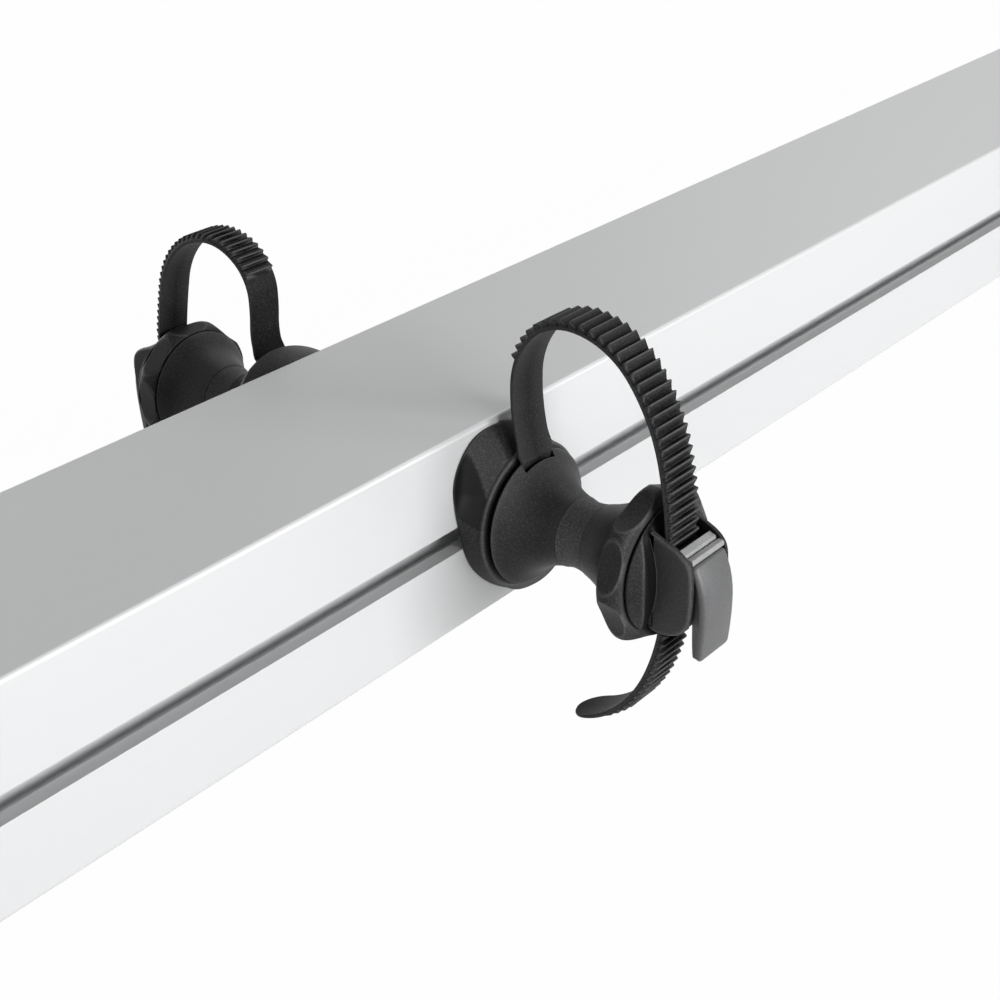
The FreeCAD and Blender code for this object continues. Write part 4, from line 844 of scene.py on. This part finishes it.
def near_clamp_foot(holder):
    """Oval foot that ramps up to a round rim, hollowed at two sides."""
    sections = [near_foot_section(angle) for angle in angles(FOOT_TURNS)]
    mount(turned("near_clamp_foot", holder, sections), holder.body, "black_plastic", "near_foot")


# Far foot: tilted ovals from the beam to the round rim, as out, half width, half height and tone;
# the tones are paler at its edges, partly wear and partly painted highlight, and painted shade inside the
# rim
FAR_FOOT_TILT = -38.7
FAR_FOOT_OVALS = (
    (-28.0, 33.6, 55.2, 0.0), (-27.4, 34.4, 56.0, 0.2), (-20.0, 36.2, 57.6, 0.0), (-8.3, 37.6, 58.4, 0.0),
    (0.0, 37.6, 51.0, 0.0), (5.0, 37.0, 44.0, 0.0), (8.6, 36.5, 38.8, 0.0), (10.2, 36.3, 36.9, 0.3),
    (11.0, 35.8, 35.9, 0.8), (11.4, 34.6, 34.6, 0.0), (11.4, 30.4, 30.4, -1.0),
)


def far_foot_section(angle):
    """Section of the far foot, from one end of its bore over its ovals to the other."""
    turn = angle - math.radians(90.0 + FAR_FOOT_TILT)
    section = [(BORE, FAR_FOOT_OVALS[0][0], -1.0)]
    for u, wide, tall, tone in FAR_FOOT_OVALS:
        section.append((1.0 / math.hypot(math.cos(turn) / tall, math.sin(turn) / wide), u, tone))
    section.append((BORE, FAR_FOOT_OVALS[-1][0], -1.0))
    return section


def far_clamp_foot(holder):
    """Long oval foot that narrows to the round rim."""
    sections = [far_foot_section(angle) for angle in angles(SPOOL_TURNS)]
    foot = turned("far_clamp_foot", holder, sections)
    mount(foot, holder.body, "black_plastic", "far_foot", "far_standoff")


# Knob: as rim radius, face radius, scoop floor, angle of a scoop and tone of the scoops, which is
# painted shade on the far knob, and how far out it starts and ends
KNOBS = {"near": (38.9, 32.3, 34.8, 25.5, 0.0), "far": (34.9, 32.3, 31.6, 1.5, -0.8)}
KNOB_SPAN = (76.9, 89.3)
KNOB_LOBES = 8
KNOB_SCOOP_RADIUS = 45.5
KNOB_TURNS = 288
KNOB_STATIONS = 30
KNOB_BORE = 9.0
KNOB_BACK = 31.4

# Knob's recessed seat for the buckle housing, as radius, width of its bevel and depth
KNOB_SEAT = (30.0, 0.9, 0.4)

# Knob's edges: the paler border of a thumb flat, partly wear and partly painted highlight, with the
# groove along it, as width and tone or depth, and the chamfer at the rim's two sides, also painted paler
KNOB_BORDER = (0.5, 0.75)
KNOB_GROOVE = (0.4, 0.22)
KNOB_CHAMFER = 0.7
KNOB_CHAMFER_TONE = 0.25


def knob_section(angle, sizes):
    """Section of the knob: its back, its bulging rim where no scoop cuts it, its face and its seat."""
    radius, face, floor, phase, shade = sizes
    start, end = KNOB_SPAN
    middle = (start + end) / 2.0
    half = (end - start) / 2.0
    bulge = ((radius - face) ** 2 + half ** 2) / (2.0 * (radius - face))
    lobe = 2.0 * math.pi / KNOB_LOBES
    off = (angle - math.radians(phase) + lobe / 2.0) % lobe - lobe / 2.0
    reach = floor + KNOB_SCOOP_RADIUS
    scoop = reach * math.cos(off) - math.sqrt(KNOB_SCOOP_RADIUS ** 2 - (reach * math.sin(off)) ** 2)
    border_width, border_tone = KNOB_BORDER
    groove_width, groove_depth = KNOB_GROOVE
    # Painted shade on the bore and the back
    section = [(KNOB_BORE, start, -1.0), (KNOB_BACK, start, -1.0)]
    for j in range(KNOB_STATIONS + 1):
        u = start + (end - start) * j / KNOB_STATIONS
        round_out = radius - bulge + math.sqrt(bulge ** 2 - (u - middle) ** 2)
        gap = round_out - scoop
        border = math.exp(-(gap / border_width) ** 2)
        # The flats' borders are paler, partly wear and partly painted highlight; the scoops take the knob's
        # tone, which is painted shade on the far knob
        tone = border_tone * border + (shade if gap > 0.0 else 0.0) * (1.0 - border)
        out = min(round_out, scoop) - groove_depth * math.exp(-(gap / groove_width) ** 2)
        if j in (0, KNOB_STATIONS):
            out -= KNOB_CHAMFER
            tone = max(tone, KNOB_CHAMFER_TONE)
        section.append((out, u, tone))
    seat, bevel, depth = KNOB_SEAT
    # Painted shade in the recessed seat and the bore
    section += [(seat + bevel, end, 0.0), (seat, end - depth, -1.0), (KNOB_BORE, end - depth, -1.0)]
    return section


def clamp_knob(holder):
    """Eight-lobed knob whose thumb flats have paler borders, partly wear and partly painted highlight."""
    sizes = KNOBS[holder.name]
    sections = [knob_section(angle, sizes) for angle in angles(KNOB_TURNS)]
    knob = turned(holder.name + "_lobed_knob", holder, sections)
    mount(knob, holder.name + "_knob", "black_plastic", holder.name + "_clamp_knob")


# Buckle housing's base: a round disc with a conical flank under an arched top, which is dished
# beside the cheeks and has a passage for the strap between them, as (up, height)
HOUSING_START = 90.4
HOUSING_RADIUS = 31.3
HOUSING_RIM = 0.8
HOUSING_FLANK = 1.19
ARCH_HEIGHT = 6.6
ARCH_RADIUS = 58.0
BASE_LEAST = 0.4
DISH_DEPTH = 1.0
DISH_EDGE = 24.5
DISH_SLOPE = 6.0
PASSAGE_HALF_WIDTH = 12.6
PASSAGE_FLOOR = (
    (26.0, 2.4), (12.0, 4.4), (4.0, 5.0), (0.0, 5.0), (-10.0, 4.2), (-20.0, 3.0), (-31.0, 1.3),
)
DISC_COLUMNS = 96
DISC_ROWS = 48
DISC_MARGIN = 0.02

# Tones of the base: painted shade in the strap's passage and on the arched top, and a paler crest
# between its flank and its top, partly wear and partly painted highlight
PASSAGE_TONE = -0.8
TOP_TONE = -0.85
TOP_FADE = (0.3, 2.0)
CREST_WIDTH = 0.5
CREST_FLANK_TONE = 0.25
CREST_TOP_TONE = 0.5

# Cheeks: outline as (out, up), and rings from the inside to the outside as across, inset and tone:
# painted shade inside, a paler rounded edge that is partly wear and partly painted highlight, and
# an outer face painted lighter as if lit; the right cheek gets painted shade all over, as a shaded side
CHEEK_SIDE = (
    (91.0, -25.6), (91.0, 24.9), (92.6, 24.6), (97.0, 23.0), (102.0, 21.3), (107.0, 19.2), (110.4, 16.9),
    (112.8, 14.0), (114.0, 10.0), (114.4, 4.0), (114.4, -4.0), (114.1, -10.0), (113.2, -16.0),
    (110.6, -20.6), (106.6, -24.2), (101.0, -26.3), (96.0, -26.6),
)
CHEEK_RINGS = (
    (-12.6, 0.3, -0.5), (-12.9, 0.0, 0.0), (-14.1, 0.0, 0.1), (-14.7, 0.35, 0.75), (-15.1, 0.9, 0.75),
    (-15.3, 1.6, 0.45), (-15.3, 3.0, 0.45),
)
CHEEK_CORNER = 2.0
CHEEK_CORNER_STEPS = 5
SHADED_CHEEK = -0.7

# Guide bar from cheek to cheek, as (out, up)
GUIDE = ((103.8, -24.0), (107.5, -24.0), (107.5, -18.5), (103.8, -18.5))
GUIDE_HALF_LENGTH = 12.7
GUIDE_CORNER = 1.0
GUIDE_CORNER_STEPS = 3

# Largest share of a side that a rounded corner takes up
CORNER_SHARE = 0.45


def base_height(x, z):
    """Height of the housing's base and its tone at a place."""
    flank = HOUSING_RIM + (HOUSING_RADIUS - math.hypot(x, z)) * HOUSING_FLANK
    arch = ARCH_HEIGHT - (ARCH_RADIUS - math.sqrt(ARCH_RADIUS ** 2 - z * z))
    across = abs(x)
    if across < PASSAGE_HALF_WIDTH:
        for (z1, f1), (z0, f0) in zip(PASSAGE_FLOOR[:-1], PASSAGE_FLOOR[1:]):
            if z0 <= z <= z1:
                arch = min(arch, f0 + (f1 - f0) * (z - z0) / (z1 - z0))
        return max(min(flank, arch), BASE_LEAST), PASSAGE_TONE
    top = arch - DISH_DEPTH * smooth_step(DISH_EDGE - across, 0.0, DISH_SLOPE)
    gap = flank - top
    crest = math.exp(-(gap / CREST_WIDTH) ** 2)
    if gap < 0.0:
        return max(flank, HOUSING_RIM), CREST_FLANK_TONE * crest
    return max(top, BASE_LEAST), TOP_TONE * smooth_step(gap, *TOP_FADE) + CREST_TOP_TONE * crest


def disc_grid(holder):
    """Points, faces and tones of the housing's round base."""
    reach = HOUSING_RADIUS - DISC_MARGIN
    columns = [-reach + k * 2.0 * reach / DISC_COLUMNS for k in range(DISC_COLUMNS + 1)]
    points = []
    tones = []
    for upper in (False, True):
        for x in columns:
            span = math.sqrt(HOUSING_RADIUS ** 2 - x * x)
            for j in range(DISC_ROWS + 1):
                z = span * (2.0 * j / DISC_ROWS - 1.0)
                # The underside gets painted shade
                height, tone = base_height(x, z) if upper else (0.0, -1.0)
                points.append(holder.at(x, HOUSING_START + height, z))
                tones.append(tone)
    faces = []
    count = DISC_ROWS + 1
    layer = len(columns) * count
    for i in range(DISC_COLUMNS):
        for j in range(DISC_ROWS):
            a = i * count + j
            faces.append((a, a + 1, a + count + 1, a + count))
            faces.append((layer + a, layer + a + count, layer + a + count + 1, layer + a + 1))
    last = DISC_COLUMNS * count
    rim = [i * count for i in range(len(columns))] + [last + j for j in range(1, count)]
    rim += [i * count + DISC_ROWS for i in range(DISC_COLUMNS - 1, -1, -1)]
    rim += list(range(DISC_ROWS - 1, 0, -1))
    for a, b in zip(rim, rim[1:] + rim[:1]):
        faces.append((a, b, layer + b, layer + a))
    return points, faces, tones


def inset(outline, amount):
    """Closed outline moved inwards at each point, along the mean of its two sides' normals."""
    moved = []
    count = len(outline)
    for k in range(count):
        before = Vector(outline[k - 1])
        here = Vector(outline[k])
        after = Vector(outline[(k + 1) % count])
        a = (here - before).normalized()
        b = (after - here).normalized()
        normal = Vector((a.y + b.y, -a.x - b.x)).normalized()
        moved.append(here + normal * amount)
    return moved


def rounded(outline, reach, steps):
    """Closed outline with each corner replaced by a short curve."""
    smooth = []
    count = len(outline)
    for k in range(count):
        here = Vector(outline[k])
        before = Vector(outline[k - 1]) - here
        after = Vector(outline[(k + 1) % count]) - here
        start = here + before.normalized() * min(reach, before.length * CORNER_SHARE)
        end = here + after.normalized() * min(reach, after.length * CORNER_SHARE)
        for j in range(steps + 1):
            t = j / steps
            smooth.append(start * (1 - t) ** 2 + here * 2.0 * t * (1 - t) + end * t ** 2)
    return [tuple(p) for p in smooth]


def buckle_housing(holder):
    """Round base, two rounded cheeks and the guide bar between them."""
    points, faces, tones = disc_grid(holder)
    cheek = rounded(CHEEK_SIDE, CHEEK_CORNER, CHEEK_CORNER_STEPS)
    for side in (1.0, -1.0):
        faces += ring_faces(len(CHEEK_RINGS), len(cheek), len(points))
        for x, depth, tone in CHEEK_RINGS:
            points += [holder.at(x * side, u, z) for u, z in inset(cheek, depth)]
            tones += [tone if side > 0.0 else SHADED_CHEEK] * len(cheek)
    guide = rounded(GUIDE, GUIDE_CORNER, GUIDE_CORNER_STEPS)
    faces += ring_faces(2, len(guide), len(points))
    for x in (-GUIDE_HALF_LENGTH, GUIDE_HALF_LENGTH):
        points += [holder.at(x, u, z) for u, z in guide]
        tones += [0.0] * len(guide)
    piece = shell_of(holder.name + "_buckle_body", points, faces, tones)
    mount(piece, holder.body, "black_plastic", holder.name + "_buckle_housing")


for holder in HOLDERS:
    spool(holder)
    strap(holder)
    clamp_knob(holder)
    buckle_housing(holder)
    lever(holder)
near_clamp_foot(HOLDERS[0])
far_clamp_foot(HOLDERS[1])


# Floor, light and camera

def seen_directly(tree):
    """Factor that is 1 where the camera sees a surface, also in a mirror or through glass."""
    path = tree.nodes.new("ShaderNodeLightPath")
    seen = path.outputs["Is Camera Ray"]
    for kind in ("Is Glossy Ray", "Is Transmission Ray"):
        seen = calculated(tree, "MAXIMUM", seen, path.outputs[kind])
    return seen


def pale_floor():
    """White sweep of paper: seen as white, yet with the object's soft shadow."""
    mesh = bpy.data.meshes.new("floor")
    corners = ((-1.0, -1.0), (1.0, -1.0), (1.0, 1.0), (-1.0, 1.0))
    mesh.from_pydata([(x * FLOOR_REACH, y * FLOOR_REACH, 0.0) for x, y in corners], [], [(0, 1, 2, 3)])
    floor = bpy.data.objects.new("floor", mesh)
    bpy.context.scene.collection.objects.link(floor)
    material = bpy.data.materials.new("white paper")
    material.use_nodes = True
    tree = material.node_tree
    principled = tree.nodes["Principled BSDF"]
    principled.inputs["Base Color"].default_value = FLOOR_PALE
    principled.inputs["Roughness"].default_value = FLOOR_ROUGHNESS
    principled.inputs["Specular IOR Level"].default_value = FLOOR_GLOSS
    glow = tree.nodes.new("ShaderNodeEmission")
    glow.inputs["Strength"].default_value = 1.0
    blend = tree.nodes.new("ShaderNodeMixShader")
    share = calculated(tree, "MULTIPLY", seen_directly(tree), FLOOR_WHITENESS)
    tree.links.new(share, blend.inputs[0])
    tree.links.new(principled.outputs[0], blend.inputs[1])
    tree.links.new(glow.outputs[0], blend.inputs[2])
    tree.links.new(blend.outputs[0], tree.nodes["Material Output"].inputs["Surface"])
    mesh.materials.append(material)


def soft_lamp(name, place, target, size, power):
    """Rectangular lamp at a place, turned to a target."""
    data = bpy.data.lights.new(name, "AREA")
    data.shape = "RECTANGLE"
    data.size, data.size_y = size
    data.energy = power
    source = bpy.data.objects.new(name, data)
    source.location = place
    source.rotation_euler = (Vector(target) - Vector(place)).to_track_quat("-Z", "Y").to_euler()
    bpy.context.scene.collection.objects.link(source)


def studio():
    """White room that is dimmer as a light than as a background, and four soft lamps."""
    world = bpy.data.worlds.new("white room")
    world.use_nodes = True
    tree = world.node_tree
    background = tree.nodes["Background"]
    background.inputs["Color"].default_value = WHITE
    strength = mapped(tree, seen_directly(tree), ROOM_LIGHT, 1.0)
    tree.links.new(strength, background.inputs["Strength"])
    bpy.context.scene.world = world
    for lamp in LAMPS:
        soft_lamp(*lamp)


def photograph_camera():
    """Camera where the photograph was taken."""
    data = bpy.data.cameras.new("photograph")
    data.lens = CAMERA_LENS
    data.sensor_width = CAMERA_SENSOR
    data.shift_x = CAMERA_SHIFT
    data.clip_start = CAMERA_NEAREST
    camera = bpy.data.objects.new("photograph", data)
    heading = math.radians(CAMERA_HEADING)
    pitch = math.radians(CAMERA_PITCH)
    level = math.cos(pitch)
    look = Vector((math.cos(heading) * level, math.sin(heading) * level, -math.sin(pitch)))
    camera.location = CAMERA_PLACE
    camera.rotation_euler = look.to_track_quat("-Z", "Y").to_euler()
    bpy.context.scene.collection.objects.link(camera)
    bpy.context.scene.camera = camera


pale_floor()
studio()
photograph_camera()
bpy.context.scene.view_settings.view_transform = "Standard"
